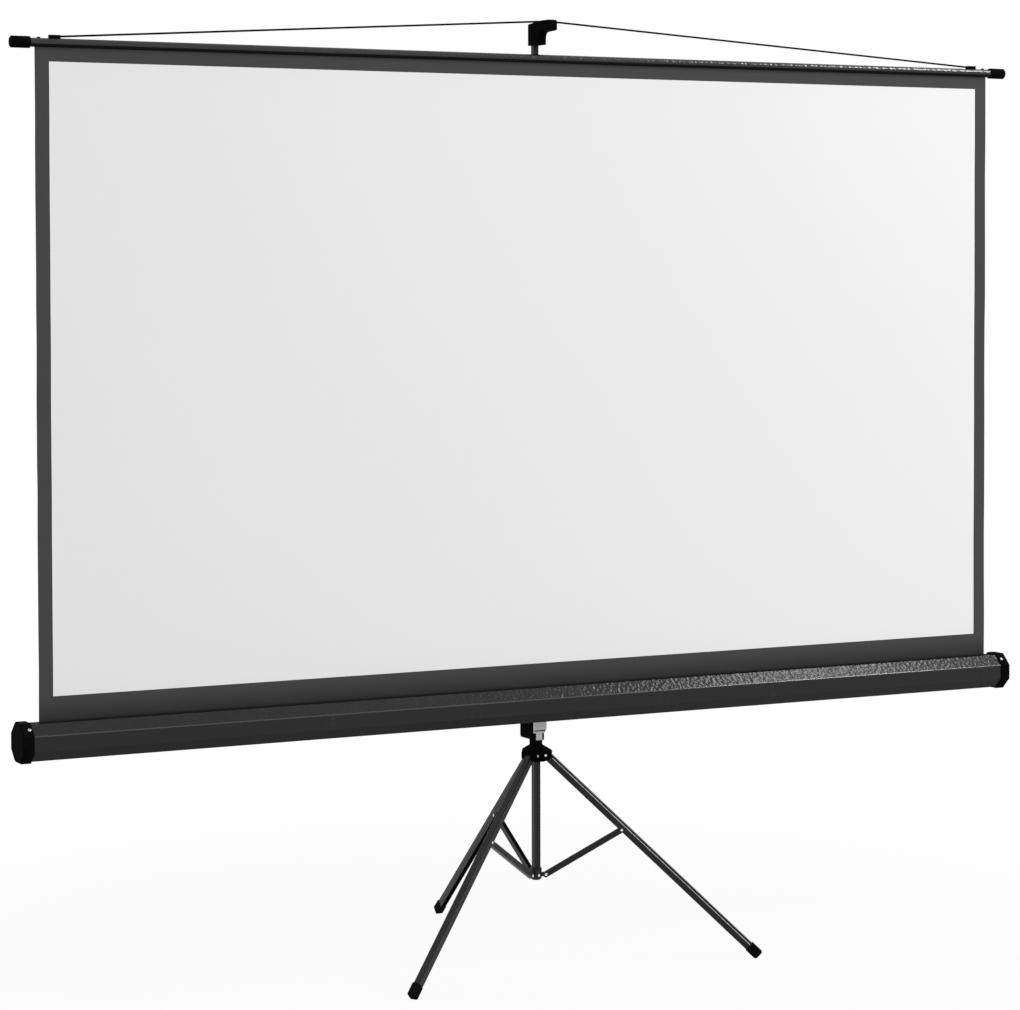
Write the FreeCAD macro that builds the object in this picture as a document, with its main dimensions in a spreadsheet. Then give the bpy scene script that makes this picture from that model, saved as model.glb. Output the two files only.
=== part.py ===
import FreeCAD, Part
import math
import os
import Sketcher

# Projection screen on a folding tripod, in millimetres.
# +Z is up, the screen faces -Y and the floor is z = 0.

SIZES = [
    # screen
    ("view_width", 2214.0),
    ("view_height", 1245.0),
    ("view_bottom", 638.0),
    ("border_side", 29.5),
    ("border_top", 27.5),
    ("fabric_thick", 0.6),
    ("mast_y", -117.5738),
    ("screen_ahead", 57.0),
    # top rail and bail
    ("rail_dia", 18.0),
    ("rail_wall", 1.2),
    ("rail_slot", 4.0),
    ("rail_show", 10.5),
    ("rail_cap_dia", 23.4),
    ("rail_cap_length", 39.0),
    ("rail_cap_floor", 10.0),
    ("rail_cap_edge", 2.0),
    ("rail_rivet_dia", 7.2),
    ("spline_dia", 8.0),
    ("spline_slit", 1.1),
    ("wire_dia", 4.0),
    ("bail_rise", 68.0),
    ("bail_bend", 160.0),
    ("clip_inset", 41.0),
    ("clip_place", "=view_width / 2 + border_side - clip_inset"),
    ("clip_length", 23.0),
    ("clip_width", 8.0),
    ("rail_rivet_inset", 8.5),
    ("rail_rivet_place", "=view_width / 2 + border_side - rail_rivet_inset"),
    # hook head
    ("hook_width", 22.0),
    ("hook_back", 12.0),
    ("hook_neck", 32.0),
    ("hook_reach", 81.5),
    ("hook_height", 50.0),
    ("hook_arm", 23.0),
    ("groove_depth", 5.0),
    # case and roller
    ("case_flats", 73.0),
    ("case_wall", 1.2),
    ("case_centre_z", 551.0),
    ("case_over", 35.0),
    ("case_half", "=view_width / 2 + border_side + case_over"),
    ("slot_front", 4.0),
    ("slot_rear", 6.0),
    ("slot_hem", 6.0),
    ("cap_flats", 79.5),
    ("cap_rim", 23.0),
    ("cap_socket", 13.0),
    ("cap_chamfer", 3.0),
    ("screw_head_dia", 7.0),
    ("roller_dia", 36.0),
    ("roller_wall", 1.2),
    ("roll_thick", 1.7),
    ("roller_over", 5.5),
    ("roller_half", "=view_width / 2 + border_side + roller_over"),
    ("axle_dia", 12.0),
    ("tang_side", 7.0),
    ("tang_length", 6.0),
    ("plug_length", 26.0),
    ("spring_length", 620.0),
    # carriage and latch
    ("carriage_width", 28.0),
    ("carriage_bottom", 466.0),
    ("carriage_top", 588.0),
    ("grip_reach", 48.0),
    ("latch_width", 28.0),
    ("tongue_width", 15.0),
    ("latch_pin_z", 474.0),
    ("latch_pin_dia", 3.0),
    ("swivel_width", 54.0),
    ("swivel_bolt_dia", 8.0),
    # mast
    ("mast_side", 14.0),
    ("mast_wall", 0.8),
    ("mast_top", 1318.0),
    ("extension_side", 11.8),
    ("extension_wall", 0.9),
    ("extension_bottom", 800.0),
    ("ferrule_side", 21.0),
    ("ferrule_height", 36.0),
    ("ferrule_lip", 24.0),
    ("knob_dia", 16.0),
    # tripod
    ("pivot_radius", 21.4),
    ("crown_pivot_z", 434.4),
    ("crown_bottom", 420.5),
    ("crown_shoulder", 442.5),
    ("crown_cone_top", 455.5),
    ("crown_reach", 35.0),
    ("crown_arm_width", 36.0),
    ("neck_dia", 27.6),
    ("leg_spread", 46.7),
    ("leg_length", 617.0),
    ("leg_depth", 18.0),
    ("leg_width", 13.4),
    ("leg_wall", 1.2),
    ("foot_length", 29.1),
    ("foot_wall", 1.8),
    ("foot_cover", 10.0),
    ("brace_place", 229.0),
    ("brace_inset", 6.0),
    ("brace_depth", 12.0),
    ("brace_width", 10.0),
    ("brace_wall", 1.2),
    ("hub_pivot_z", 175.2),
    ("hub_core_dia", 24.0),
    ("hub_bottom", 163.8),
    ("hub_top", 189.0),
    ("hub_floor", 6.0),
    ("pin_dia", 5.0),
    ("pin_head_dia", 8.0),
    ("pin_head_height", 1.6),
    # clearances
    ("slide_gap", 0.3),
    ("pin_gap", 0.05),
    ("seat_gap", 0.3),
]

doc = FreeCAD.newDocument("ProjectionScreen")
sheet = doc.addObject("Spreadsheet::Sheet", "Sizes")
for row, (alias, value) in enumerate(SIZES, start=1):
    sheet.set(f"A{row}", alias)
    sheet.set(f"B{row}", str(value))
    sheet.setAlias(f"B{row}", alias)
doc.recompute()


class Dim:
    """A length with its value and the sheet expression behind it."""

    def __init__(self, value, text):
        self.value = float(value)
        self.text = text

    def __add__(self, other):
        other = dim(other)
        return Dim(self.value + other.value, f"({self.text} + {other.text})")

    def __radd__(self, other):
        return dim(other) + self

    def __sub__(self, other):
        other = dim(other)
        return Dim(self.value - other.value, f"({self.text} - {other.text})")

    def __rsub__(self, other):
        return dim(other) - self

    def __mul__(self, factor):
        factor = dim(factor)
        return Dim(self.value * factor.value, f"({self.text} * {factor.text})")

    def __rmul__(self, factor):
        return self * factor

    def __truediv__(self, factor):
        factor = dim(factor)
        return Dim(self.value / factor.value, f"({self.text} / {factor.text})")

    def __neg__(self):
        return Dim(-self.value, f"(-1 * {self.text})")


def dim(number):
    """Returns number as a Dim."""
    if isinstance(number, Dim):
        return number
    return Dim(number, f"({float(number):.9f})")


def size(alias):
    """Returns the sheet's value under alias."""
    return Dim(sheet.get(alias), f"Sizes.{alias}")


def vec(x, y, z):
    return FreeCAD.Vector(dim(x).value, dim(y).value, dim(z).value)


def bind(obj, prop, number):
    obj.setExpression(prop, dim(number).text)


TURN_X = FreeCAD.Rotation(FreeCAD.Vector(1, 1, 1), 120)
TURN_Y = FreeCAD.Rotation(FreeCAD.Vector(1, 0, 0), 90)
TURN_Z = FreeCAD.Rotation()
ALONG_X = FreeCAD.Rotation(FreeCAD.Vector(0, 1, 0), 90)
ALONG_Y = FreeCAD.Rotation(FreeCAD.Vector(1, 0, 0), -90)
FLATS_12 = 1 / math.cos(math.pi / 12)
NODES = {}


def keep(node, obj):
    """Labels obj as the finished sub-part called node."""
    obj.Label = node
    NODES[node] = obj
    return obj


def put(obj, x, y, z, turn=TURN_Z):
    """Places obj with its base bound to the sheet."""
    obj.Placement = FreeCAD.Placement(vec(x, y, z), turn)
    bind(obj, "Placement.Base.x", x)
    bind(obj, "Placement.Base.y", y)
    bind(obj, "Placement.Base.z", z)
    return obj


def box(name, x, y, z):
    """A box from three (low, high) pairs."""
    obj = doc.addObject("Part::Box", name)
    for prop, (low, high) in zip(("Length", "Width", "Height"), (x, y, z)):
        setattr(obj, prop, (dim(high) - dim(low)).value)
        bind(obj, prop, dim(high) - dim(low))
    return put(obj, x[0], y[0], z[0])


def rod(name, axis, start, radius, length):
    """A cylinder from start along one axis."""
    obj = doc.addObject("Part::Cylinder", name)
    obj.Radius = dim(radius).value
    obj.Height = dim(length).value
    bind(obj, "Radius", radius)
    bind(obj, "Height", length)
    turns = {
        "x": ALONG_X,
        "y": ALONG_Y,
        "z": TURN_Z,
    }
    return put(obj, *start, turns[axis])


def prism(name, sides, start, radius, length, turn=TURN_Z):
    """A regular prism from start along its own Z."""
    obj = doc.addObject("Part::Prism", name)
    obj.Polygon = sides
    obj.Circumradius = dim(radius).value
    obj.Height = dim(length).value
    bind(obj, "Circumradius", radius)
    bind(obj, "Height", length)
    return put(obj, *start, turn)


def stack(name, sides, levels, at, turn):
    """A faceted turned form through (radius, height) levels, whose flats lie at the radius."""
    rings = []
    for radius, height in levels:
        corner = dim(radius).value / math.cos(math.pi / sides)
        place = FreeCAD.Placement(vec(*at(dim(height))), turn)
        angles = [2 * math.pi * step / sides for step in range(sides)]
        rings.append([place.multVec(FreeCAD.Vector(corner * math.cos(a), corner * math.sin(a), 0)) for a in angles])
    loops = [rings[0], rings[-1]]
    for low, high in zip(rings, rings[1:]):
        for step in range(sides):
            after = (step + 1) % sides
            loops.append([low[step], low[after], high[after], high[step]])
    shell = Part.Shell([Part.Face(Part.makePolygon(loop + loop[:1])) for loop in loops])
    shell.sewShape()
    solid = Part.Solid(shell)
    if solid.Volume < 0:
        solid.reverse()
    obj = doc.addObject("Part::Feature", name)
    obj.Shape = solid
    return obj


def fuse(name, *shapes):
    obj = doc.addObject("Part::MultiFuse", name)
    obj.Shapes = list(shapes)
    obj.Refine = True
    return obj


def group(name, *shapes):
    """Separate solids that share one sub-part."""
    obj = doc.addObject("Part::Compound", name)
    obj.Links = list(shapes)
    return obj


def cut(name, base, *tools):
    obj = doc.addObject("Part::Cut", name)
    obj.Base = base
    obj.Tool = tools[0] if len(tools) == 1 else fuse(name + "_tools", *tools)
    return obj


def new_body(name):
    return doc.addObject("PartDesign::Body", name)


def plane_of(body, role):
    return [item for item in body.Origin.OriginFeatures if item.Role == role][0]


def add_sketch(body, name, *loops, role="XY_Plane"):
    """A sketch of closed polygons; each point is a pair of lengths."""
    sketch = body.newObject("Sketcher::SketchObject", name)
    sketch.AttachmentSupport = [(plane_of(body, role), "")]
    sketch.MapMode = "FlatFace"
    for loop in loops:
        first = sketch.GeometryCount
        count = len(loop)
        for index in range(count):
            here = vec(*loop[index], 0)
            there = vec(*loop[(index + 1) % count], 0)
            sketch.addGeometry(Part.LineSegment(here, there))
        for index in range(count):
            after = first + (index + 1) % count
            sketch.addConstraint(Sketcher.Constraint("Coincident", first + index, 2, after, 1))
        for index, point in enumerate(loop):
            for kind, number in zip(("DistanceX", "DistanceY"), point):
                number = dim(number)
                at = sketch.addConstraint(Sketcher.Constraint(kind, -1, 1, first + index, 1, number.value))
                sketch.setExpression(f"Constraints[{at}]", number.text)
    return sketch


def add_circles(body, name, circles, role="XY_Plane"):
    """A sketch of circles, each (x, y, radius)."""
    sketch = body.newObject("Sketcher::SketchObject", name)
    sketch.AttachmentSupport = [(plane_of(body, role), "")]
    sketch.MapMode = "FlatFace"
    for x, y, radius in circles:
        centre = vec(x, y, 0)
        line = sketch.addGeometry(Part.Circle(centre, FreeCAD.Vector(0, 0, 1), dim(radius).value))
        pairs = (("DistanceX", x), ("DistanceY", y))
        for kind, number in pairs:
            number = dim(number)
            at = sketch.addConstraint(Sketcher.Constraint(kind, -1, 1, line, 3, number.value))
            sketch.setExpression(f"Constraints[{at}]", number.text)
        at = sketch.addConstraint(Sketcher.Constraint("Radius", line, dim(radius).value))
        sketch.setExpression(f"Constraints[{at}]", dim(radius).text)
    return sketch


def pad(body, sketch, length, name, middle=True, flip=False):
    feature = body.newObject("PartDesign::Pad", name)
    feature.Profile = sketch
    feature.Length = dim(length).value
    bind(feature, "Length", length)
    feature.SideType = "Symmetric" if middle else "One side"
    feature.Reversed = flip
    return feature


def pocket(body, sketch, length, name, middle=True, flip=False):
    """A pocket that has to take material away."""
    doc.recompute()
    before = body.Shape.Volume
    feature = body.newObject("PartDesign::Pocket", name)
    feature.Profile = sketch
    feature.Length = dim(length).value
    bind(feature, "Length", length)
    feature.SideType = "Symmetric" if middle else "One side"
    feature.Reversed = flip
    doc.recompute()
    if body.Shape.Volume > before - 1e-6:
        raise RuntimeError(f"{name} cuts nothing")
    return feature


def revolve(body, sketch, name, axis="H_Axis"):
    feature = body.newObject("PartDesign::Revolution", name)
    feature.Profile = sketch
    feature.ReferenceAxis = (sketch, [axis])
    feature.Angle = 360.0
    return feature


def polar(body, features, name):
    """Repeats features three times about the body's Z axis."""
    feature = body.newObject("PartDesign::PolarPattern", name)
    feature.Originals = features
    feature.Axis = (plane_of(body, "Z_Axis"), [""])
    feature.Angle = 360.0
    feature.Occurrences = 3
    body.Tip = feature
    doc.recompute()
    return feature


def dress_edges(body, name, kind, prop, amount, wanted):
    """Dresses the edges of the body's tip whose middle point passes wanted."""
    doc.recompute()
    tip = body.Tip
    names = []
    for index, edge in enumerate(tip.Shape.Edges, start=1):
        middle = edge.valueAt((edge.FirstParameter + edge.LastParameter) / 2)
        along = edge.tangentAt((edge.FirstParameter + edge.LastParameter) / 2)
        if wanted(middle, along):
            names.append(f"Edge{index}")
    if not names:
        raise RuntimeError(f"{name} finds no edge")
    feature = body.newObject(kind, name)
    feature.Base = (tip, names)
    setattr(feature, prop, dim(amount).value)
    bind(feature, prop, amount)
    body.Tip = feature
    doc.recompute()
    return feature


def round_edges(body, name, radius, wanted):
    return dress_edges(body, name, "PartDesign::Fillet", "Radius", radius, wanted)


def bevel_edges(body, name, width, wanted):
    return dress_edges(body, name, "PartDesign::Chamfer", "Size", width, wanted)


def octagon(flats):
    """Corner points of a regular octagon that stands on a flat."""
    half = flats / 2
    side = half * (math.sqrt(2) - 1)
    return [
        (-side, half), (-half, side), (-half, -side), (-side, -half),
        (side, -half), (half, -side), (half, side), (side, half),
    ]


def square(side, x=0.0, y=0.0):
    half = side / 2
    return [(x - half, y - half), (x + half, y - half), (x + half, y + half), (x - half, y + half)]


# Places that several pieces share.
my = size("mast_y")
fy = my - size("screen_ahead")
gap = size("slide_gap")
seat = size("seat_gap")
fabric_half = size("view_width") / 2 + size("border_side")
rail_z = size("view_bottom") + size("view_height") + size("border_top") + size("rail_dia") / 2
case_z = size("case_centre_z")
case_top = case_z + size("case_flats") / 2
cap_end = size("case_half") + size("cap_rim") - size("cap_socket") + seat
wire_z = rail_z + size("rail_dia") / 2 + size("wire_dia") / 2 + seat
hook_wire_z = wire_z + size("bail_rise")
hook_top = hook_wire_z - size("wire_dia") / 2 + size("groove_depth")
hook_bottom = hook_top - size("hook_height")


# Top rail: slotted tube, spline rod, end caps, rivets.
rail_half = fabric_half + size("rail_show") + size("rail_cap_length") - size("rail_cap_floor")
rail_outer = rod("rail_outer", "x", (-rail_half, fy, rail_z), size("rail_dia") / 2, rail_half * 2)
rail_inner = rod("rail_inner", "x", (-rail_half, fy, rail_z), size("rail_dia") / 2 - size("rail_wall"), rail_half * 2)
slot_half = size("rail_slot") / 2
rail_cut = box("rail_cut", (-rail_half, rail_half), (fy - slot_half, fy + slot_half),
               (rail_z - size("rail_dia"), rail_z))
keep("rail_tube", cut("rail", rail_outer, rail_inner, rail_cut))
rivets = []
for side, name in ((-1, "left"), (1, "right")):
    head = prism(f"rail_rivet_head_{name}", 12, (size("rail_rivet_place") * side, fy, rail_z + size("rail_dia") / 2 - 1),
                 size("rail_rivet_dia") / 2, 3.2)
    rivets.append(cut(f"rail_rivet_{name}", head, rail_outer))
keep("rail_rivets", group("rail_rivet_pair", *rivets))

spline_r = size("spline_dia") / 2
spline_drop = size("rail_dia") / 2 - size("rail_wall") - spline_r - seat
spline_rod = rod("spline_rod", "x", (-fabric_half, fy, rail_z - spline_drop), spline_r, fabric_half * 2)
slit_half = size("spline_slit") / 2
spline_cut = box("spline_cut", (-fabric_half, fabric_half), (fy - slit_half, fy + slit_half),
                 (rail_z - spline_drop - spline_r, rail_z - spline_drop + 1))
keep("fabric_spline", cut("spline", spline_rod, spline_cut))

for side, name in ((-1, "left"), (1, "right")):
    cap_r = size("rail_cap_dia") / 2
    length = size("rail_cap_length")
    edge = size("rail_cap_edge")
    start = fabric_half + size("rail_show")
    outward = ALONG_X if side > 0 else ALONG_X.inverted()
    shell = stack(f"rail_cap_{name}_shell", 32, [(cap_r, 0), (cap_r, length - edge), (cap_r - edge, length)],
                  lambda height: ((start + height) * side, fy, rail_z), outward)
    socket_r = (size("rail_dia") / 2 + size("pin_gap")) / math.cos(math.pi / 32)
    socket = prism(f"rail_cap_{name}_socket", 32, (start * side, fy, rail_z), socket_r, length - size("rail_cap_floor"), outward)
    keep(f"rail_cap_{name}", cut(f"rail_cap_{name}_cut", shell, socket))


# Wire bail: two straight runs with a bend over the hook.
def rounded_wire(points, radii):
    """A wire of straight runs joined by tangent arcs."""
    edges = []
    last = points[0]
    for index in range(1, len(points) - 1):
        corner = points[index]
        before = (points[index - 1] - corner).normalize()
        after = (points[index + 1] - corner).normalize()
        half = before.getAngle(after) / 2
        reach = radii[index - 1] / math.tan(half)
        start = corner + before * reach
        end = corner + after * reach
        inward = (before + after).normalize()
        middle = corner + inward * (radii[index - 1] / math.sin(half) - radii[index - 1])
        edges.append(Part.LineSegment(last, start).toShape())
        edges.append(Part.Arc(start, middle, end).toShape())
        last = end
    edges.append(Part.LineSegment(last, points[-1]).toShape())
    return Part.Wire(edges)


clip_out = size("clip_place") + size("clip_length") / 2
clip_in = size("clip_place") - size("clip_length") / 2
bail_points = [vec(-clip_out, fy, wire_z), vec(0, fy, hook_wire_z + 0.4), vec(clip_out, fy, wire_z)]
bail_path = rounded_wire(bail_points, [size("bail_bend").value])
along = (bail_points[1] - bail_points[0]).normalize()
ring = Part.Wire([Part.Circle(bail_points[0], along, size("wire_dia").value / 2).toShape()])
bail = doc.addObject("Part::Feature", "bail")
bail.Shape = bail_path.makePipeShell([ring], True, True)
print("bail volume ratio", bail.Shape.Volume / (bail_path.Length * math.pi * (size("wire_dia").value / 2) ** 2))
keep("bail_wire", bail)

clips = []
wire_rise = (hook_wire_z + 0.4 - wire_z) * size("clip_length") / clip_out
wire_slope = math.degrees(math.atan2(wire_rise.value, size("clip_length").value))
for side, name in ((-1, "left"), (1, "right")):
    x = size("clip_place") * side
    half = size("clip_length") / 2
    clip_half = size("clip_width") / 2
    roof = wire_z + wire_rise + size("wire_dia") / 2 + 0.8
    block = box(f"clip_block_{name}", (x - half, x + half), (fy - clip_half, fy + clip_half),
                (rail_z + size("rail_dia") / 2 - 2, roof))
    bore = rod(f"clip_bore_{name}", "x", (0, fy, 0), size("wire_dia") / 2 + size("pin_gap") * 3, size("clip_length") + 8)
    reach = (clip_in - 4) if side > 0 else -(clip_out + 4)
    lift = wire_z + wire_rise * (clip_out - reach * side) / size("clip_length")
    put(bore, reach, fy, lift, FreeCAD.Rotation(FreeCAD.Vector(0, 1, 0), 90 + wire_slope * side))
    mouth = box(f"clip_mouth_{name}", (x - half, x + half), (fy - size("wire_dia") / 2, fy + size("wire_dia") / 2),
                (rail_z, wire_z + wire_rise))
    saddle = rod(f"clip_saddle_{name}", "x", (x - half, fy, rail_z), size("rail_dia") / 2, size("clip_length"))
    clips.append(cut(f"clip_{name}", block, bore, mouth, saddle))
keep("bail_clips", group("bail_clip_pair", *clips))


# Hook head on the extension: side profile, square socket, groove for the wire.
body = new_body("hook_body")
back = size("hook_back")
neck = -size("hook_neck")
tip = -size("hook_reach")
arm_low = hook_top - size("hook_arm")
side_view = [(back, hook_bottom), (back, hook_top - 5), (back - 2, hook_top - 4), (tip + 34, hook_top),
             (tip + 3, hook_top - 0.6), (tip, hook_top - 4), (tip, arm_low + 3), (tip + 3, arm_low),
             (neck - 14, arm_low - 1), (neck - 6, arm_low - 3), (neck - 1.6, arm_low - 8), (neck, arm_low - 15),
             (neck, hook_bottom)]
pad(body, add_sketch(body, "hook_side", side_view), size("hook_width"), "hook_pad")
put(body, 0, my, 0, TURN_X)
bevel_edges(body, "hook_bevel", 2.0,
            lambda at, along: abs(abs(at.z) - size("hook_width").value / 2) < 0.1 and at.y > hook_bottom.value + 1)
hook_socket = box("hook_socket", (-size("extension_side") / 2, size("extension_side") / 2),
                  (my - size("extension_side") / 2, my + size("extension_side") / 2),
                  (hook_bottom, hook_top - 12))
hook_groove = box("hook_groove", (-size("hook_width"), size("hook_width")),
                  (fy - size("wire_dia") / 2 - 0.3, fy + size("wire_dia") / 2 + 0.3),
                  (hook_wire_z - size("wire_dia") / 2 - 0.4, hook_top + 5))
pin_z = hook_bottom + 12
pin_in = size("extension_side") / 2 - size("extension_wall")
hook_bore = prism("hook_bore", 12, (0, my + pin_in, pin_z), 2.0, back - pin_in + 1, ALONG_Y)
keep("hook_head", cut("hook", body, hook_socket, hook_groove, hook_bore))
keep("hook_pin", prism("hook_set_pin", 12, (0, my + pin_in, pin_z), 2.0, back - pin_in + 0.6, ALONG_Y))


# Mast tubes.
def square_tube(name, side, wall, low, high):
    body = new_body(name)
    outline = add_sketch(body, name + "_section", square(side), square(side - wall * 2))
    pad(body, outline, high - low, name + "_pad", middle=False)
    return put(body, 0, my, low)


hub_seat = size("hub_bottom") + size("hub_floor")
mast = square_tube("mast", size("mast_side"), size("mast_wall"), hub_seat, size("mast_top"))
hub_rivet_z = size("hub_pivot_z") - 1
hub_front = size("hub_core_dia") / 2
rivet_stop = size("mast_side") / 2 - size("mast_wall") - 1
mast_bore = prism("mast_bore", 12, (0, my - hub_front, hub_rivet_z), 2.2, hub_front - rivet_stop, ALONG_Y)
keep("mast_tube", cut("mast_cut", mast, mast_bore))
stretch = square_tube("stretch", size("extension_side"), size("extension_wall"), size("extension_bottom"), hook_top - 12)
stretch_bore = prism("stretch_bore", 12, (0, my + pin_in, pin_z), 2.0, back, ALONG_Y)
keep("extension_tube", cut("stretch_cut", stretch, stretch_bore))

plug_half = size("extension_side") / 2 - size("extension_wall")
plug_stem = box("plug_stem", (-plug_half, plug_half), (my - plug_half, my + plug_half),
                (size("extension_bottom"), size("extension_bottom") + 24))
foot_half = size("mast_side") / 2 - size("mast_wall") - 0.15
plug_foot = box("plug_foot", (-foot_half, foot_half), (my - foot_half, my + foot_half),
                (size("extension_bottom") - 14, size("extension_bottom")))
keep("extension_plug", fuse("plug", plug_stem, plug_foot))

# Ferrule on the mast's top with its pull knob.
ferrule_top = size("mast_top") + size("ferrule_lip")
ferrule_low = ferrule_top - size("ferrule_height")
body = new_body("ferrule_body")
pad(body, add_sketch(body, "ferrule_plan", square(size("ferrule_side"))), size("ferrule_height"), "ferrule_pad", middle=False)
put(body, 0, my, ferrule_low)
bevel_edges(body, "ferrule_bevel", 2.5, lambda at, along: abs(along.z) > 0.9)
knob_z = size("mast_top") + size("ferrule_lip") / 2
boss_out = size("ferrule_side") / 2 + 9
knob_boss = prism("knob_boss", 12, (0, my, knob_z), 6.7, boss_out, ALONG_Y)
ferrule_mast = box("ferrule_mast", (-size("mast_side") / 2, size("mast_side") / 2),
                   (my - size("mast_side") / 2, my + size("mast_side") / 2), (ferrule_low, size("mast_top")))
slip = size("extension_side") / 2 + gap
ferrule_slip = box("ferrule_slip", (-slip, slip), (my - slip, my + slip), (ferrule_low, ferrule_top))
knob_bore = rod("knob_bore", "y", (0, my, knob_z), 3.0 + size("pin_gap"), boss_out)
keep("mast_ferrule", cut("ferrule", fuse("ferrule_blank", body, knob_boss), ferrule_mast, ferrule_slip, knob_bore))
knob_in = size("extension_side") / 2 + gap + 0.1
knob_stem = rod("knob_stem", "y", (0, my + knob_in, knob_z), 3.0, boss_out - knob_in + 1)
knob_head = prism("knob_head", 12, (0, my + boss_out + seat, knob_z), size("knob_dia") / 2, 9.0, ALONG_Y)
keep("lock_knob", fuse("knob", knob_stem, knob_head))


# Screen fabric: hangs from the spline and runs over the slot to the roll.
roll_r = size("roller_dia") / 2 + size("roll_thick")
half_thick = size("fabric_thick") / 2
rise = case_top.value - case_z.value - 2.5
lead_r = roll_r.value + seat.value + half_thick.value
swing = math.acos(lead_r / rise)
lead_end = (lead_r * math.sin(swing), lead_r * math.cos(swing))
lead_across = (math.sin(swing) * half_thick.value, math.cos(swing) * half_thick.value)
bend_z = case_z + rise
body = new_body("fabric_body")
hem_top = rail_z - spline_drop
section = [(-half_thick, hem_top), (half_thick, hem_top), (half_thick, bend_z),
           (lead_end[0] + lead_across[0], case_z + lead_end[1] + lead_across[1]),
           (lead_end[0] - lead_across[0], case_z + lead_end[1] - lead_across[1]), (-half_thick, bend_z)]
pad(body, add_sketch(body, "fabric_section", section), fabric_half * 2, "fabric_pad")
put(body, 0, fy, 0, TURN_X)
keep("screen_fabric", body)


# Case: folded sheet with turned-in slot lips.
body = new_body("case_body")
outer = octagon(size("case_flats"))
wall = size("case_wall")
inner = octagon(size("case_flats") - wall * 2)
roof = size("case_flats") / 2
lip_front = -size("slot_front")
lip_rear = size("slot_rear")
hem = roof - size("slot_hem")
section = [(lip_front, hem), (lip_front, roof)] + outer + [(lip_rear, roof), (lip_rear, hem), (lip_rear + wall, hem),
                                                         (lip_rear + wall, roof - wall)]
section = section + inner[::-1] + [(lip_front - wall, roof - wall), (lip_front - wall, hem)]
pad(body, add_sketch(body, "case_section", section), size("case_half") * 2, "case_pad")
put(body, 0, fy, case_z, TURN_X)
case_blank = body

# End caps: octagonal cups with chamfered faces, axle sockets and screws.
axle_r = size("axle_dia") / 2
screws = []
cap_blanks = {}
for side, name in ((-1, "left"), (1, "right")):
    turn = TURN_X if side > 0 else FreeCAD.Rotation(FreeCAD.Vector(0, 0, 1), 180).multiply(TURN_X)
    body = new_body(f"end_cap_{name}_body")
    pad(body, add_sketch(body, f"end_cap_{name}_outline", octagon(size("cap_flats"))), size("cap_rim"),
        f"end_cap_{name}_pad", middle=False)
    pocket(body, add_sketch(body, f"end_cap_{name}_cup", octagon(size("case_flats") + size("pin_gap") * 2)),
           size("cap_socket"), f"end_cap_{name}_pocket", middle=False, flip=True)
    far = size("cap_rim").value
    bevel_edges(body, f"end_cap_{name}_bevel", size("cap_chamfer"),
                lambda at, along: abs(at.z - far) < 0.01 and abs(along.z) < 0.1)
    put(body, (cap_end - size("cap_rim")) * side, fy, case_z, turn)
    cap_blanks[name] = body
    for facing, word in ((-1, "front"), (1, "rear")):
        x = (cap_end - size("cap_rim") + size("cap_socket") / 2) * side
        out = size("cap_flats") / 2 / math.sqrt(2)
        tilt = FreeCAD.Rotation(FreeCAD.Vector(1, 0, 0), -45 * facing)
        screws.append(prism(f"screw_{name}_{word}", 12, (x, fy + out * facing, case_z + out), size("screw_head_dia") / 2, 2.0, tilt))
bolt_r = size("swivel_bolt_dia") / 2
swivel_bore = prism("swivel_bore", 12, (0, fy, case_z), bolt_r, size("case_flats"), ALONG_Y)
keep("case_shell", cut("case", case_blank, swivel_bore))
keep("end_cap_screws", group("end_cap_screw_set", *screws))

tang = size("tang_side") / 2
tang_long = size("tang_length")
axle_tangs = {}
for side, name in ((-1, "left"), (1, "right")):
    face = (cap_end - size("cap_rim") + size("cap_socket")) * side
    pair = (face - tang_long, face) if side < 0 else (face, face + tang_long)
    for use in ("socket", "tang"):
        axle_tangs[use, name] = box(f"axle_{use}_{name}", pair, (fy - tang, fy + tang), (case_z - tang, case_z + tang))
    keep(f"end_cap_{name}", cut(f"end_cap_{name}_cut", cap_blanks[name], axle_tangs["socket", name]))

# Spring roller: tube, wound fabric, end plugs, axles, winding spring.
cap_floor = cap_end - size("cap_rim") + size("cap_socket")
tube_r = size("roller_dia") / 2
tube_in = tube_r - size("roller_wall")
roller_long = size("roller_half") * 2
roller_outer = rod("roller_outer", "x", (-size("roller_half"), fy, case_z), tube_r, roller_long)
roller_hollow = rod("roller_hollow", "x", (-size("roller_half"), fy, case_z), tube_in, roller_long)
keep("roller_tube", cut("roller", roller_outer, roller_hollow))
roll_outer = rod("roll_outer", "x", (-fabric_half, fy, case_z), roll_r, fabric_half * 2)
roll_hollow = rod("roll_hollow", "x", (-fabric_half, fy, case_z), tube_r, fabric_half * 2)
keep("fabric_roll", cut("roll", roll_outer, roll_hollow))
plug_in = size("roller_half") - size("plug_length")
for side, name in ((-1, "left"), (1, "right")):
    low = -size("roller_half") if side < 0 else plug_in
    disc = prism(f"roller_plug_disc_{name}", 16, (low, fy, case_z), tube_in, size("plug_length"), ALONG_X)
    bore = rod(f"roller_plug_bore_{name}", "x", (low, fy, case_z), axle_r + size("pin_gap"), size("plug_length"))
    keep(f"roller_plug_{name}", cut(f"roller_plug_{name}_cut", disc, bore))
axle_rod = rod("axle_right_rod", "x", (plug_in - 4, fy, case_z), axle_r, cap_floor - plug_in + 4)
keep("axle_right", fuse("axle_right_fuse", axle_rod, axle_tangs["tang", "right"]))
spring_end = -plug_in + size("spring_length")
axle_rod = rod("axle_left_rod", "x", (-cap_floor, fy, case_z), axle_r, spring_end + 14 + cap_floor)
keep("axle_left", fuse("axle_left_fuse", axle_rod, axle_tangs["tang", "left"]))
spring_outer = rod("spring_outer", "x", (-plug_in + seat, fy, case_z), axle_r + 5, size("spring_length") - seat)
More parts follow.
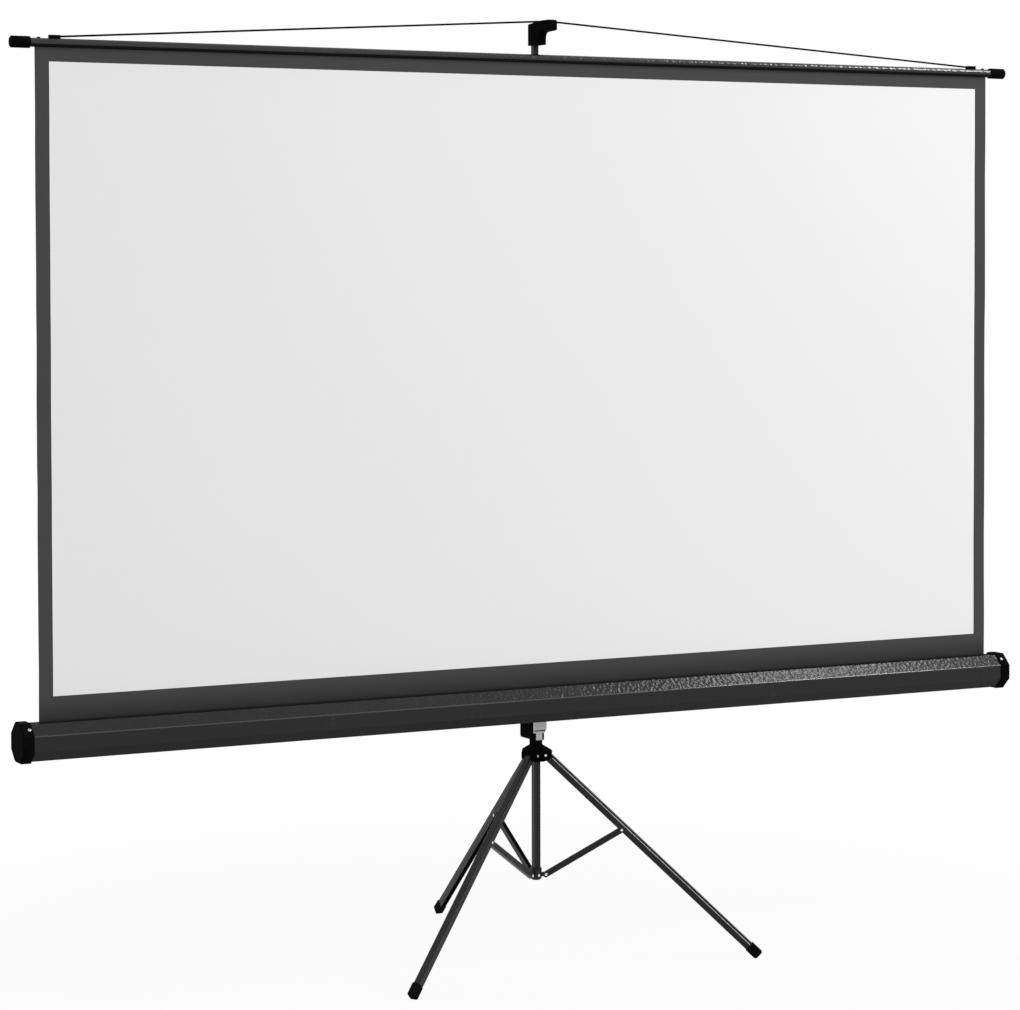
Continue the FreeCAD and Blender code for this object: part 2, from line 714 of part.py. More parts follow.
spring_bore = rod("spring_bore", "x", (-plug_in, fy, case_z), axle_r, size("spring_length"))
keep("roller_spring", cut("spring", spring_outer, spring_bore))


# Carriage behind and under the case, with its grip, cheeks and mast bore.
case_back = size("case_flats") / 2 - size("screen_ahead")
plate_thick = 3.0
front = case_back + plate_thick
mast_half = size("mast_side") / 2
chest = -(mast_half + 2.2)
low = size("carriage_bottom")
high = size("carriage_top")
grip = size("grip_reach")
body = new_body("carriage_body")
section = [(front, high), (front, low + 58), (chest, low + 50), (chest, low), (grip - 3, low), (grip, low + 3),
           (grip, low + 52), (grip - 7, low + 60), (mast_half + 16, low + 70), (mast_half + 9, low + 84), (mast_half + 9, high)]
pad(body, add_sketch(body, "carriage_side", section), size("carriage_width"), "carriage_pad")
put(body, 0, my, 0, TURN_X)
bevel_edges(body, "carriage_bevel", 2.5,
            lambda at, along: abs(abs(at.z) - size("carriage_width").value / 2) < 0.1 and at.x > mast_half.value + 4)
pin_y = my - mast_half - 5.5
latch_z = size("latch_pin_z")
tongue_half = size("tongue_width") / 2
cheeks = []
for side, name in ((-1, "left"), (1, "right")):
    inner_x = (tongue_half + seat) * side
    outer_x = (tongue_half + seat + 4) * side
    pair = (inner_x, outer_x) if side > 0 else (outer_x, inner_x)
    cheeks.append(box(f"cheek_{name}", pair, (pin_y - 2.5, my + chest + 1), (low, latch_z + 7)))
bore_half = mast_half + gap
carriage_bore = box("carriage_bore", (-bore_half, bore_half), (my - bore_half, my + bore_half), (low - 1, high + 1))
window_half = tongue_half + seat
carriage_window = box("carriage_window", (-window_half, window_half), (my + chest - 1, my), (low - 1, latch_z + 17))
pin_reach = tongue_half + seat + 4
cheek_bore = prism("cheek_bore", 12, (-pin_reach - 1, pin_y, latch_z), size("latch_pin_dia") / 2 * FLATS_12, pin_reach * 2 + 2, ALONG_X)
bolt_end = chest + 1
bolt_bore = prism("bolt_bore", 12, (0, my + case_back, case_z), bolt_r, bolt_end - case_back, ALONG_Y)
keep("carriage", cut("carriage_cut", fuse("carriage_blank", body, *cheeks), carriage_bore, carriage_window, cheek_bore,
                     bolt_bore))

# Swivel plate, bolt and the backing plate inside the case.
plate_side = size("case_flats") * (math.sqrt(2) - 1) / 2 - 1
plate_flat = box("plate_flat", (-size("swivel_width") / 2, size("swivel_width") / 2), (my + case_back, my + case_back + plate_thick),
                 (case_z - plate_side, case_z + plate_side))
plate_bore = prism("plate_bore", 12, (0, my + case_back - 1, case_z), bolt_r, plate_thick + 2, ALONG_Y)
keep("swivel_plate", cut("plate", plate_flat, plate_bore))
inside = case_back - wall
backing = box("backing", (-60, 60), (my + inside - 2, my + inside), (case_z - plate_side + 1, case_z + plate_side - 1))
backing_bore = prism("backing_bore", 12, (0, my + inside - 3, case_z), bolt_r, 4, ALONG_Y)
keep("case_backplate", cut("backing_cut", backing, backing_bore))
bolt_shank = prism("bolt_shank", 12, (0, my + inside - 2, case_z), bolt_r, bolt_end - inside + 2, ALONG_Y)
bolt_head = prism("bolt_head", 6, (0, my + inside - 7, case_z), 7.5, 5.0, ALONG_Y)
keep("swivel_bolt", fuse("bolt", bolt_shank, bolt_head))

# Latch lever with its thumb block, tongue, pin and leaf spring.
block_low = size("latch_pin_z") + 9
block_high = block_low + 29
block_back = -(mast_half + 8)
body = new_body("latch_block_body")
lip = 1.8
foot_line = block_low + lip + 1.4
block_wide = size("latch_width") / 2
section = [(block_back, foot_line), (block_back - 9, foot_line), (block_back - 9, block_high - 3),
           (block_back - 6, block_high), (block_back, block_high)]
pad(body, add_sketch(body, "latch_block_side", section), size("latch_width"), "latch_block_pad")
put(body, 0, my, 0, TURN_X)
bevel_edges(body, "latch_block_bevel", 1.2,
            lambda at, along: abs(abs(at.z) - block_wide.value) < 0.1 and abs(at.x - block_back.value + 9) < 0.1)
corner_body = new_body("latch_corner_body")
corner = [(block_wide + 1, foot_line - 1), (block_wide + 1, foot_line + 6), (block_wide, foot_line + 5.5), (block_wide - 3.8, foot_line),
          (block_wide - 3.8, foot_line - 1)]
pad(corner_body, add_sketch(corner_body, "latch_corner", corner), 60.0, "latch_corner_pad")
put(corner_body, 0, my, 0, TURN_Y)
thumb = cut("latch_thumb", body, corner_body)
lip_plate = box("latch_lip", (-block_wide - 0.6, tongue_half + 1.2), (my + block_back - 9, my + block_back + 1), (block_low, block_low + lip))
tongue = box("tongue", (-tongue_half, tongue_half), (my + block_back, my + block_back + 5), (low + 0.2, block_low + 6))
tooth = box("tooth", (-tongue_half + 1, tongue_half - 1), (my + block_back + 4, my - mast_half - seat), (low + 0.8, low + 4.8))
latch_bore = rod("latch_bore", "x", (-tongue_half - 1, pin_y, latch_z), size("latch_pin_dia") / 2 + size("pin_gap"),
                 tongue_half * 2 + 2)
keep("latch_lever", cut("latch", fuse("latch_blank", thumb, lip_plate, tongue, tooth), latch_bore))
keep("latch_pin", rod("latch_pin_rod", "x", (-pin_reach - 1, pin_y, latch_z), size("latch_pin_dia") / 2, pin_reach * 2 + 2))
body = new_body("leaf_body")
leaf_low = latch_z + 19
leaf = [(chest, leaf_low), (chest, leaf_low + 8), (block_back + 1.1, leaf_low + 17), (block_back + seat, leaf_low + 17),
        (block_back + seat, leaf_low + 16), (chest - 0.8, leaf_low + 7.4), (chest - 0.8, leaf_low)]
pad(body, add_sketch(body, "leaf_side", leaf), 8.0, "leaf_pad")
put(body, 0, my, 0, TURN_X)
keep("latch_spring", body)


# Tripod: angles in the plane of one leg, r outwards and z up.
AZIMUTHS = {"front_right": -30.0, "rear": 90.0, "front_left": 210.0}
spread = math.radians(size("leg_spread").value)
pivot_r = size("pivot_radius")
pivot_z = size("crown_pivot_z")
rivet_r = pivot_r.value + size("brace_place").value * math.sin(spread) - size("brace_inset").value * math.cos(spread)
rivet_z = pivot_z.value - size("brace_place").value * math.cos(spread) - size("brace_inset").value * math.sin(spread)
brace_dr = rivet_r - pivot_r.value
brace_dz = rivet_z - size("hub_pivot_z").value
brace_long = math.hypot(brace_dr, brace_dz)
brace_tilt = math.degrees(math.atan2(brace_dz, brace_dr))
print(f"leg rivet r {rivet_r:.3f} z {rivet_z:.3f}, brace length {brace_long:.3f}, slope {brace_tilt:.3f}")


def leg_frame(azimuth, r, z, slope):
    """Placement with local x along slope in the leg's upright plane."""
    angle = math.radians(azimuth)
    base = vec(r * math.cos(angle), my.value + r * math.sin(angle), z)
    turn = FreeCAD.Rotation(FreeCAD.Vector(0, 0, 1), azimuth)
    turn = turn.multiply(TURN_Y).multiply(FreeCAD.Rotation(FreeCAD.Vector(0, 0, 1), slope))
    return FreeCAD.Placement(base, turn)


def pivot_pin(name, azimuth, r, z, radius, low, high):
    """A pin across one leg's plane, from low to high along its axis."""
    obj = doc.addObject("Part::Cylinder", name)
    obj.Radius = dim(radius).value
    obj.Height = (dim(high) - low).value
    bind(obj, "Radius", radius)
    bind(obj, "Height", dim(high) - low)
    frame = leg_frame(azimuth, dim(r).value, dim(z).value, 0)
    obj.Placement = FreeCAD.Placement(frame.multVec(vec(0, 0, low)), frame.Rotation)
    return obj


def rivet_end(name, azimuth, r, z, radius, low, high):
    """A rivet's head or seat across one leg's plane, with few faces."""
    head = prism(name, 12, (0, 0, 0), radius, dim(high) - low)
    for axis in "xyz":
        head.setExpression(f"Placement.Base.{axis}", None)
    frame = leg_frame(azimuth, dim(r).value, dim(z).value, 0)
    head.Placement = FreeCAD.Placement(frame.multVec(vec(0, 0, low)), frame.Rotation)
    return head


def channel(name, start, end, depth, width, wall, open_up):
    """A U-section bar along local x, with rounded ends."""
    body = new_body(name)
    half = depth / 2
    outline = [(start, -half), (end, -half), (end, half), (start, half)]
    pad(body, add_sketch(body, name + "_outline", outline), width, name + "_pad")
    return body


pin_r = size("pin_dia") / 2
for name, azimuth in AZIMUTHS.items():
    # leg
    depth = size("leg_depth")
    width = size("leg_width")
    half = depth / 2
    body = channel(f"leg_{name}_body", -half, size("leg_length"), depth, width, size("leg_wall"), False)
    body.Placement = leg_frame(azimuth, pivot_r.value, pivot_z.value, size("leg_spread").value - 90)
    bevel_edges(body, f"leg_{name}_back", 1.5, lambda at, along: abs(along.x) > 0.9 and at.y > half.value - 0.1)
    round_edges(body, f"leg_{name}_low", half - 0.1, lambda at, along: at.x < 0 and abs(along.z) > 0.9 and at.y < 0)
    round_edges(body, f"leg_{name}_high", half - 0.1, lambda at, along: at.x < 0 and abs(along.z) > 0.9 and at.y > half.value - 1)
    trough = [(-half - 1, -half - 1), (size("leg_length") + 1, -half - 1),
              (size("leg_length") + 1, half - size("leg_wall")), (-half - 1, half - size("leg_wall"))]
    pocket(body, add_sketch(body, f"leg_{name}_trough", trough), width - size("leg_wall") * 2, f"leg_{name}_channel")
    pocket(body, add_circles(body, f"leg_{name}_pivot_hole", [(0, 0, pin_r + size("pin_gap"))]), width * 2, f"leg_{name}_pivot")
    corners = [(size("brace_place") + pin_r * FLATS_12 * math.cos(step * math.pi / 6),
                pin_r * FLATS_12 * math.sin(step * math.pi / 6) - size("brace_inset")) for step in range(12)]
    pocket(body, add_sketch(body, f"leg_{name}_rivet_hole", corners), width * 2, f"leg_{name}_rivet")
    keep(f"leg_{name}", body)

    # foot cap over the leg's end, cut flat where it stands
    body = new_body(f"foot_{name}_body")
    grow = size("foot_wall")
    tip = size("leg_length") + size("foot_length") - 20
    start = size("leg_length") - 20
    outline = [(start, -half - grow), (tip, -half - grow), (tip, half + grow), (start, half + grow)]
    pad(body, add_sketch(body, f"foot_{name}_outline", outline), width + grow * 2, f"foot_{name}_pad")
    body.Placement = leg_frame(azimuth, pivot_r.value, pivot_z.value, size("leg_spread").value - 90)
    tip_x = tip.value
    round_edges(body, f"foot_{name}_tip", 3.5, lambda at, along: abs(at.x - tip_x) < 0.01 and abs(along.z) > 0.9)
    bevel_edges(body, f"foot_{name}_sides", 2.0,
                lambda at, along: abs(along.z) < 0.1 and at.x > start.value + 1)
    socket = [(start - 1, -half), (size("leg_length"), -half), (size("leg_length"), half), (start - 1, half)]
    pocket(body, add_sketch(body, f"foot_{name}_socket", socket), width, f"foot_{name}_hollow")
    ground = box(f"ground_{name}", (-700, 700), (my - 700, my + 700), (-60, 0))
    keep(f"foot_{name}", cut(f"foot_{name}_cut", body, ground))

    # rivet between leg and brace
    proud = size("pin_head_height") / 2
    keep(f"leg_rivet_{name}", pivot_pin(f"leg_rivet_{name}_pin", azimuth, rivet_r, rivet_z, pin_r, -width / 2 - proud,
                                        width / 2 + proud))

    # brace
    depth_b = size("brace_depth")
    half_b = depth_b / 2
    body = channel(f"brace_{name}_body", -half_b, dim(brace_long) + half_b, depth_b, size("brace_width"), size("brace_wall"), True)
    body.Placement = leg_frame(azimuth, pivot_r.value, size("hub_pivot_z").value, brace_tilt)
    bevel_edges(body, f"brace_{name}_ends", 2.5, lambda at, along: abs(along.z) > 0.9)
    trough = [(-half_b - 1, half_b + 1), (brace_long + half_b + 1, half_b + 1),
              (brace_long + half_b + 1, size("brace_wall") - half_b), (-half_b - 1, size("brace_wall") - half_b)]
    inner_b = size("brace_width") - size("brace_wall") * 2
    pocket(body, add_sketch(body, f"brace_{name}_trough", trough), inner_b, f"brace_{name}_channel")
    pocket(body, add_circles(body, f"brace_{name}_leg_hole", [(brace_long, 0, pin_r + size("pin_gap"))]),
           size("brace_width") * 2, f"brace_{name}_leg")
    keep(f"brace_{name}", body)

    # rivet ends at the lower hub
    side_b = size("brace_width") / 2
    tall = size("pin_head_height")
    head_r = size("pin_head_dia") / 2
    near = rivet_end(f"brace_pin_{name}_near", azimuth, pivot_r, size("hub_pivot_z"), head_r, side_b, side_b + tall)
    away = rivet_end(f"brace_pin_{name}_away", azimuth, pivot_r, size("hub_pivot_z"), head_r, -side_b - tall, -side_b)
    keep(f"brace_pins_{name}", group(f"brace_pins_{name}_pair", near, away))

# Crown: turned outline with neck, cone and skirt, trimmed to three arms with slots from below.
arm_half = size("crown_arm_width") / 2
reach = size("crown_reach")
foot_z = size("crown_bottom")
shoulder = size("crown_shoulder")
neck_r = size("neck_dia") / 2
flat_out = FreeCAD.Rotation(FreeCAD.Vector(0, 0, 1), 7.5)
half_view = [(reach - 12, foot_z), (reach, foot_z + 7), (reach, shoulder - 1.5), (reach - 1.8, shoulder + 1),
             (neck_r, size("crown_cone_top")), (neck_r, size("carriage_bottom") - seat)]
crown_round = stack("crown_round", 24, half_view, lambda height: (0, my, height), flat_out)
crown_star = new_body("crown_star")
arm = add_sketch(crown_star, "crown_arm_plan", [(-arm_half, 0), (arm_half, 0), (arm_half, reach + 1), (-arm_half, reach + 1)])
polar(crown_star, [pad(crown_star, arm, size("carriage_bottom") - foot_z, "crown_arm", middle=False)], "crown_arms")
put(crown_star, 0, my, foot_z)
crown_blank = doc.addObject("Part::Common", "crown_blank")
crown_blank.Base = crown_round
crown_blank.Tool = crown_star
slot_half = size("leg_width") / 2 + seat
slot_in = pivot_r - size("leg_depth") / 2 - seat
slot_roof = pivot_z + size("leg_depth") / 2 + seat * 2
crown_tools = [box("crown_bore", (-mast_half - gap, mast_half + gap), (my - mast_half - gap, my + mast_half + gap),
                   (foot_z - 1, size("carriage_bottom") + 1))]
pins = []
for name, azimuth in AZIMUTHS.items():
    slot = new_body(f"crown_slot_{name}")
    side_view = [(slot_in, foot_z - 1), (reach + 1, foot_z - 1), (reach + 1, pivot_z + 3.5), (pivot_r + 3, slot_roof), (slot_in, slot_roof)]
    pad(slot, add_sketch(slot, f"crown_slot_{name}_side", side_view), slot_half * 2, f"crown_slot_{name}_pad")
    slot.Placement = leg_frame(azimuth, 0, 0, 0)
    crown_tools.append(slot)
    proud = size("pin_head_height") / 2
    crown_tools.append(rivet_end(f"crown_pin_hole_{name}", azimuth, pivot_r, pivot_z, pin_r * FLATS_12, -arm_half - 2, arm_half + 2))
    pins.append(pivot_pin(f"crown_pin_{name}", azimuth, pivot_r, pivot_z, pin_r, -arm_half - proud, arm_half + proud))
keep("crown", cut("crown_cut", crown_blank, *crown_tools))
keep("crown_pins", group("crown_pin_set", *pins))

# Lower hub: core with a bevelled bottom and three fingers in the braces.
core = size("hub_core_dia") / 2
core_levels = [(core - 3, size("hub_bottom")), (core, size("hub_bottom") + 3), (core, size("hub_top"))]
hub_core = stack("hub_core", 24, core_levels, lambda height: (0, my, height), flat_out)
body = new_body("hub_body")
finger_r = size("brace_depth") / 2 - size("brace_wall") - 0.4
finger_z = size("hub_pivot_z") - size("hub_bottom")
outline = [(0, finger_z - finger_r)]
for step in range(-3, 4):
    outline.append((pivot_r + finger_r * math.cos(step * math.pi / 6), finger_z + finger_r * math.sin(step * math.pi / 6)))
outline.append((0, finger_z + finger_r))
finger_thick = size("brace_width") - size("brace_wall") * 2 - seat * 2
finger_pad = pad(body, add_sketch(body, "hub_finger_side", outline, role="YZ_Plane"), finger_thick, "hub_finger")
doc.recompute()
polar(body, [finger_pad], "hub_fingers")
put(body, 0, my, size("hub_bottom"))
hub_socket = box("hub_socket", (-mast_half, mast_half), (my - mast_half, my + mast_half), (hub_seat, size("hub_top") + 1))
hub_bore = prism("hub_bore", 12, (0, my - core - 1, hub_rivet_z), 2.2, core + 1 - rivet_stop, ALONG_Y)
keep("lower_hub", cut("hub", fuse("hub_blank", hub_core, body), hub_socket, hub_bore))
rivet_shank = prism("hub_rivet_shank", 12, (0, my - core, hub_rivet_z), 2.2, core - rivet_stop, ALONG_Y)
rivet_front = prism("hub_rivet_front", 12, (0, my - core - 1.4, hub_rivet_z), 3.6, 2.1, ALONG_Y)
rivet_cap = cut("hub_rivet_cap", rivet_front, hub_core)
keep("hub_rivet", fuse("hub_rivet_fuse", rivet_shank, rivet_cap))


# Checks, then one file for each sub-part.
doc.recompute()
for obj in doc.Objects:
    if "Invalid" in obj.State or "Error" in obj.State:
        raise RuntimeError(f"{obj.Name} failed: {obj.State}")
for node, obj in NODES.items():
    if obj.Shape.isNull() or not obj.Shape.isValid():
        raise RuntimeError(f"{node} has no valid shape")
os.makedirs("parts", exist_ok=True)
total = FreeCAD.BoundBox()
for node, obj in NODES.items():
    obj.Shape.exportStep(f"parts/{node}.step")
    total.add(obj.Shape.BoundBox)
    print(node, len(obj.Shape.Solids), f"{obj.Shape.Volume:.1f}")
print("box", total)
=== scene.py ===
"""Looks of a projection screen on a folding tripod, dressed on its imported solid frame.

Every length is in metres. The screen faces -Y, +X runs along it and the floor is z = 0.
"""

import logging
import math
from dataclasses import dataclass
from enum import Enum
from functools import cache
from typing import Iterable, Optional, Sequence, Union

import bmesh
import bpy
from mathutils import Matrix, Quaternion, Vector, noise


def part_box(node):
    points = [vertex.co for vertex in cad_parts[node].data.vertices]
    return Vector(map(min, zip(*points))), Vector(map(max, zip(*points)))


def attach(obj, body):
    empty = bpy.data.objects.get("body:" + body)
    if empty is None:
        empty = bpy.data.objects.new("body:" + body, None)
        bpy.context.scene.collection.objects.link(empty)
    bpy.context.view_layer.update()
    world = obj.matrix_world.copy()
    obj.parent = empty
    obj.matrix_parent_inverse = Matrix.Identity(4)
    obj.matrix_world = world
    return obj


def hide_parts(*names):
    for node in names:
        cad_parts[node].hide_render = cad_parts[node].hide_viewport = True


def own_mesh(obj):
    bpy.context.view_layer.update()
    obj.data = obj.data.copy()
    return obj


logging.basicConfig(level=logging.INFO, format="%(message)s")
LOG = logging.getLogger("projection_screen")

Colour = tuple[float, float, float, float]
Span = tuple[float, float]
Place = tuple[float, float, float]
Seat = tuple[Vector, Vector]
Socket = bpy.types.NodeSocket
Value = Union[Socket, float, Sequence[float]]

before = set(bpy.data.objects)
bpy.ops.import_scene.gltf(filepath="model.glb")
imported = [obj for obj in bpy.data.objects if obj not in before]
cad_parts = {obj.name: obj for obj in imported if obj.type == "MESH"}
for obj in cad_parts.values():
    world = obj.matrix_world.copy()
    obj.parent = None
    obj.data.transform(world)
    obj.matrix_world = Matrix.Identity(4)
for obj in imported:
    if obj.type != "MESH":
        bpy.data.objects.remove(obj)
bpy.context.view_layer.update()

# Depth of the mast's middle and of the screen's plane.
MAST_Y = -0.1175738
SCREEN_Y = MAST_Y - 0.057
# Height of the case's middle and half the cloth's width.
CASE_Z = 0.551
CLOTH_HALF = 1.1365
# How far a thin coat stands off its face.
COAT_LIFT = 0.00004
# Half of one flat of an eight-sided tube, as a share of its half width.
OCTAGON = math.sqrt(2) - 1
# Sockets of the colour mix node: factor, both colours and the result.
MIX_FACTOR, MIX_FIRST, MIX_SECOND, MIX_RESULT = 0, 6, 7, 2
WHITE = (1.0, 1.0, 1.0, 1.0)
UP = Vector((0, 0, 1))
# Signs of the front and the back, or of the two ends of a pin.
BOTH = (-1, 1)


class Side(Enum):
    """The two ends of the screen, as seen from its front."""

    LEFT = -1
    RIGHT = 1


class LegPlace(Enum):
    """The tripod's legs by where they point."""

    FRONT_RIGHT = "front_right"
    FRONT_LEFT = "front_left"
    REAR = "rear"

    @property
    def azimuth(self) -> float:
        """Direction of the leg in radians from +X."""
        return math.radians({"front_right": -30.0, "front_left": 210.0, "rear": 90.0}[self.value])


# Node helpers


class NodeSheet:
    """Adds and joins nodes in one node tree."""

    def __init__(self, tree: bpy.types.NodeTree) -> None:
        """Keeps the tree that gets the nodes."""
        self.tree = tree

    def add(self, kind: str, inputs: Optional[dict] = None, **settings: object) -> bpy.types.Node:
        """Adds a node.

        Args:
            kind: Blender's type name of the node.
            inputs: Links or values for its inputs, by name or number.
            settings: Attributes to set on it.

        Returns:
            The new node.
        """
        node = self.tree.nodes.new(kind)
        for name, value in settings.items():
            setattr(node, name, value)
        for label, value in (inputs or {}).items():
            self.feed(node.inputs[label], value)
        return node

    def join(self, source: Socket, target: Socket) -> None:
        """Joins an output to an input."""
        self.tree.links.new(source, target)

    def feed(self, target: Socket, value: Value) -> None:
        """Gives an input a link or a plain value."""
        if isinstance(value, bpy.types.NodeSocket):
            self.join(value, target)
        else:
            target.default_value = value

    def put(self, tree: bpy.types.NodeTree, **values: float) -> bpy.types.Node:
        """Places a node group with values for its inputs."""
        return self.add("ShaderNodeGroup", values, node_tree=tree)

    def calc(self, operation: str, *values: Value, clamp: bool = False) -> Socket:
        """Adds a math node and returns its result."""
        inputs = dict(enumerate(values))
        return self.add("ShaderNodeMath", inputs, operation=operation, use_clamp=clamp).outputs[0]

    def ramp(self, value: Socket, low: float, high: float, start: float = 0.0,
             end: float = 1.0) -> Socket:
        """Maps low..high to start..end with soft ends."""
        limits = {"Value": value, "From Min": low, "From Max": high, "To Min": start, "To Max": end}
        return self.add("ShaderNodeMapRange", limits, interpolation_type="SMOOTHSTEP").outputs[0]

    def blend(self, factor: Socket, first: Value, second: Colour) -> Socket:
        """Mixes from the first colour, plain or linked, to the second by a mask."""
        inputs = {MIX_FACTOR: factor, MIX_FIRST: first, MIX_SECOND: second}
        return self.add("ShaderNodeMix", inputs, data_type="RGBA").outputs[MIX_RESULT]

    def cloud(self, point: Socket, scale: Socket, detail: float, roughness: float = 0.5) -> Socket:
        """Adds a noise texture and returns its value."""
        inputs = {"Vector": point, "Scale": scale, "Detail": detail, "Roughness": roughness}
        return self.add("ShaderNodeTexNoise", inputs).outputs["Fac"]

    def seen(self) -> Socket:
        """Returns a mask of the rays that show the surroundings as they are.

        Returns:
            1 for camera, glossy and transmission rays.
        """
        path = self.add("ShaderNodeLightPath")
        shown = self.calc("MAXIMUM", path.outputs["Is Camera Ray"], path.outputs["Is Glossy Ray"])
        return self.calc("MAXIMUM", shown, path.outputs["Is Transmission Ray"])


# Shared surface effects, each a node group


def open_group(name: str, inputs: dict[str, float], outputs: Sequence[str]
               ) -> tuple[NodeSheet, dict[str, Socket], dict[str, Socket]]:
    """Starts a shader node group with number sockets.

    Args:
        name: The group's name.
        inputs: Input names with their default values.
        outputs: Output names.

    Returns:
        The group's sheet, its input sockets and the sockets that its outputs read.
    """
    tree = bpy.data.node_groups.new(name, "ShaderNodeTree")
    kind = "NodeSocketFloat"
    for label, value in inputs.items():
        socket = tree.interface.new_socket(label, in_out="INPUT", socket_type=kind)
        socket.default_value = value
    for label in outputs:
        tree.interface.new_socket(label, in_out="OUTPUT", socket_type=kind)
    sheet = NodeSheet(tree)
    source = sheet.add("NodeGroupInput")
    target = sheet.add("NodeGroupOutput")
    take = {s.name: s for s in source.outputs if s.name}
    return sheet, take, {s.name: s for s in target.inputs if s.name}


def place_in(sheet: NodeSheet) -> Socket:
    """Returns the point on the object that a texture reads, in metres."""
    return sheet.add("ShaderNodeTexCoord").outputs["Object"]


@cache
def hammered_group() -> bpy.types.NodeTree:
    """Builds the hammered skin of the stove-enamelled sheet.

    Returns:
        A group with the dimples' height and a mask of lighter flecks.
    """
    smoothness, dimple_share, swell_share, swell_scale = 0.6, 0.75, 0.5, 0.4
    sheet, take, give = open_group("hammered_skin", {"Cells": 260.0, "Flecks": 900.0},
                                   ("Height", "Flecks"))
    point = place_in(sheet)
    inputs = {"Vector": point, "Scale": take["Cells"], "Smoothness": smoothness}
    cells = sheet.add("ShaderNodeTexVoronoi", inputs, feature="SMOOTH_F1")
    swell = sheet.cloud(point, sheet.calc("MULTIPLY", take["Cells"], swell_scale), detail=2.0)
    swell = sheet.calc("MULTIPLY", swell, swell_share)
    height = sheet.calc("MULTIPLY_ADD", cells.outputs["Distance"], dimple_share, swell)
    sheet.join(height, give["Height"])
    fleck = sheet.cloud(point, take["Flecks"], detail=1.0)
    sheet.join(sheet.ramp(fleck, low=0.55, high=0.75), give["Flecks"])
    return sheet.tree


@cache
def grain_group() -> bpy.types.NodeTree:
    """Builds the fine grain of moulded and rubber surfaces.

    Returns:
        A group with the grain's height and slow patches of gloss.
    """
    sheet, take, give = open_group("fine_grain", {"Grain": 1500.0, "Patches": 25.0},
                                   ("Height", "Patches"))
    point = place_in(sheet)
    for label, scale, detail in (("Height", "Grain", 3.0), ("Patches", "Patches", 4.0)):
        cloud = sheet.cloud(point, take[scale], detail)
        sheet.join(sheet.ramp(cloud, low=0.3, high=0.7), give[label])
    return sheet.tree


@cache
def wear_group() -> bpy.types.NodeTree:
    """Builds rubbed streaks and chips from handling.

    Returns:
        A group with one mask.
    """
    upright_stretch = (1.0, 1.0, 0.25)
    sheet, take, give = open_group("handling_wear", {"Size": 40.0, "Amount": 0.3}, ("Mask",))
    inputs = {"Vector": place_in(sheet), "Scale": upright_stretch}
    stretch = sheet.add("ShaderNodeMapping", inputs)
    rub = sheet.cloud(stretch.outputs["Vector"], take["Size"], detail=8.0, roughness=0.7)
    patch = sheet.ramp(rub, low=0.58, high=0.74)
    sheet.join(sheet.calc("MULTIPLY", patch, take["Amount"], clamp=True), give["Mask"])
    return sheet.tree


@cache
def dust_group() -> bpy.types.NodeTree:
    """Builds a thin film of dust on faces that look up.

    Returns:
        A group with one mask.
    """
    sheet, take, give = open_group("settled_dust", {"Amount": 0.15, "Scale": 60.0}, ("Mask",))
    outward = sheet.add("ShaderNodeNewGeometry").outputs["Normal"]
    normal = sheet.add("ShaderNodeSeparateXYZ", {0: outward})
    cloud = sheet.cloud(place_in(sheet), take["Scale"], detail=5.0)
    upward = sheet.ramp(normal.outputs["Z"], low=0.35, high=0.98)
    film = sheet.calc("MULTIPLY", upward, sheet.ramp(cloud, low=0.25, high=0.8))
    sheet.join(sheet.calc("MULTIPLY", film, take["Amount"], clamp=True), give["Mask"])
    return sheet.tree


@cache
def weave_group() -> bpy.types.NodeTree:
    """Builds the coated weave of the screen cloth.

    Returns:
        A group with the threads' height and slow changes of tone.
    """
    unevenness = 0.6
    sheet, take, give = open_group("screen_weave", {"Threads": 900.0, "Clouds": 1.2},
                                   ("Height", "Tone"))
    point = place_in(sheet)
    heights = []
    for direction in ("X", "Z"):
        inputs = {"Vector": point, "Scale": take["Threads"], "Distortion": unevenness}
        wave = sheet.add("ShaderNodeTexWave", inputs, wave_type="BANDS", bands_direction=direction)
        heights.append(wave.outputs["Fac"])
    sheet.join(sheet.calc("MULTIPLY", *heights), give["Height"])
    sheet.join(sheet.cloud(point, take["Clouds"], detail=3.0), give["Tone"])
    return sheet.tree


# Finishes


def open_material(name: str) -> tuple[bpy.types.Material, NodeSheet]:
    """Starts a material without nodes.

    Args:
        name: The material's name.

    Returns:
        The material and its node sheet.
    """
    material = bpy.data.materials.new(name)
    material.use_nodes = True
    material.node_tree.nodes.clear()
    return material, NodeSheet(material.node_tree)


def grey(level: float, blue: Optional[float] = None) -> Colour:
    """Returns a grey, or a grey with its own blue."""
    return (level, level, level if blue is None else blue, 1.0)


@dataclass(frozen=True)
class Finish:
    """What every finish shares: two tones, roughness, gloss and bump."""

    name: str
    colour: Colour
    second: Colour
    roughness: float = 0.26
    specular: float = 0.28
    metallic: float = 0.0
    depth: float = 0.0006
    strength: float = 0.4

    def layers(self, sheet: NodeSheet) -> tuple[Socket, Socket, Socket]:
        """Returns the sockets of the colour, the roughness and the height."""
        raise NotImplementedError

    def material(self) -> bpy.types.Material:
        """Builds the finish's material.

        Returns:
            The material.
        """
        material, sheet = open_material(self.name)
        colour, rough, height = self.layers(sheet)
        relief = {"Strength": self.strength, "Distance": self.depth, "Height": height}
        bump = sheet.add("ShaderNodeBump", relief)
        inputs = {"Base Color": colour, "Roughness": rough, "Metallic": self.metallic,
                  "Specular IOR Level": self.specular, "Normal": bump.outputs["Normal"]}
        shader = sheet.add("ShaderNodeBsdfPrincipled", inputs)
        sheet.add("ShaderNodeOutputMaterial", {"Surface": shader.outputs["BSDF"]})
        return material


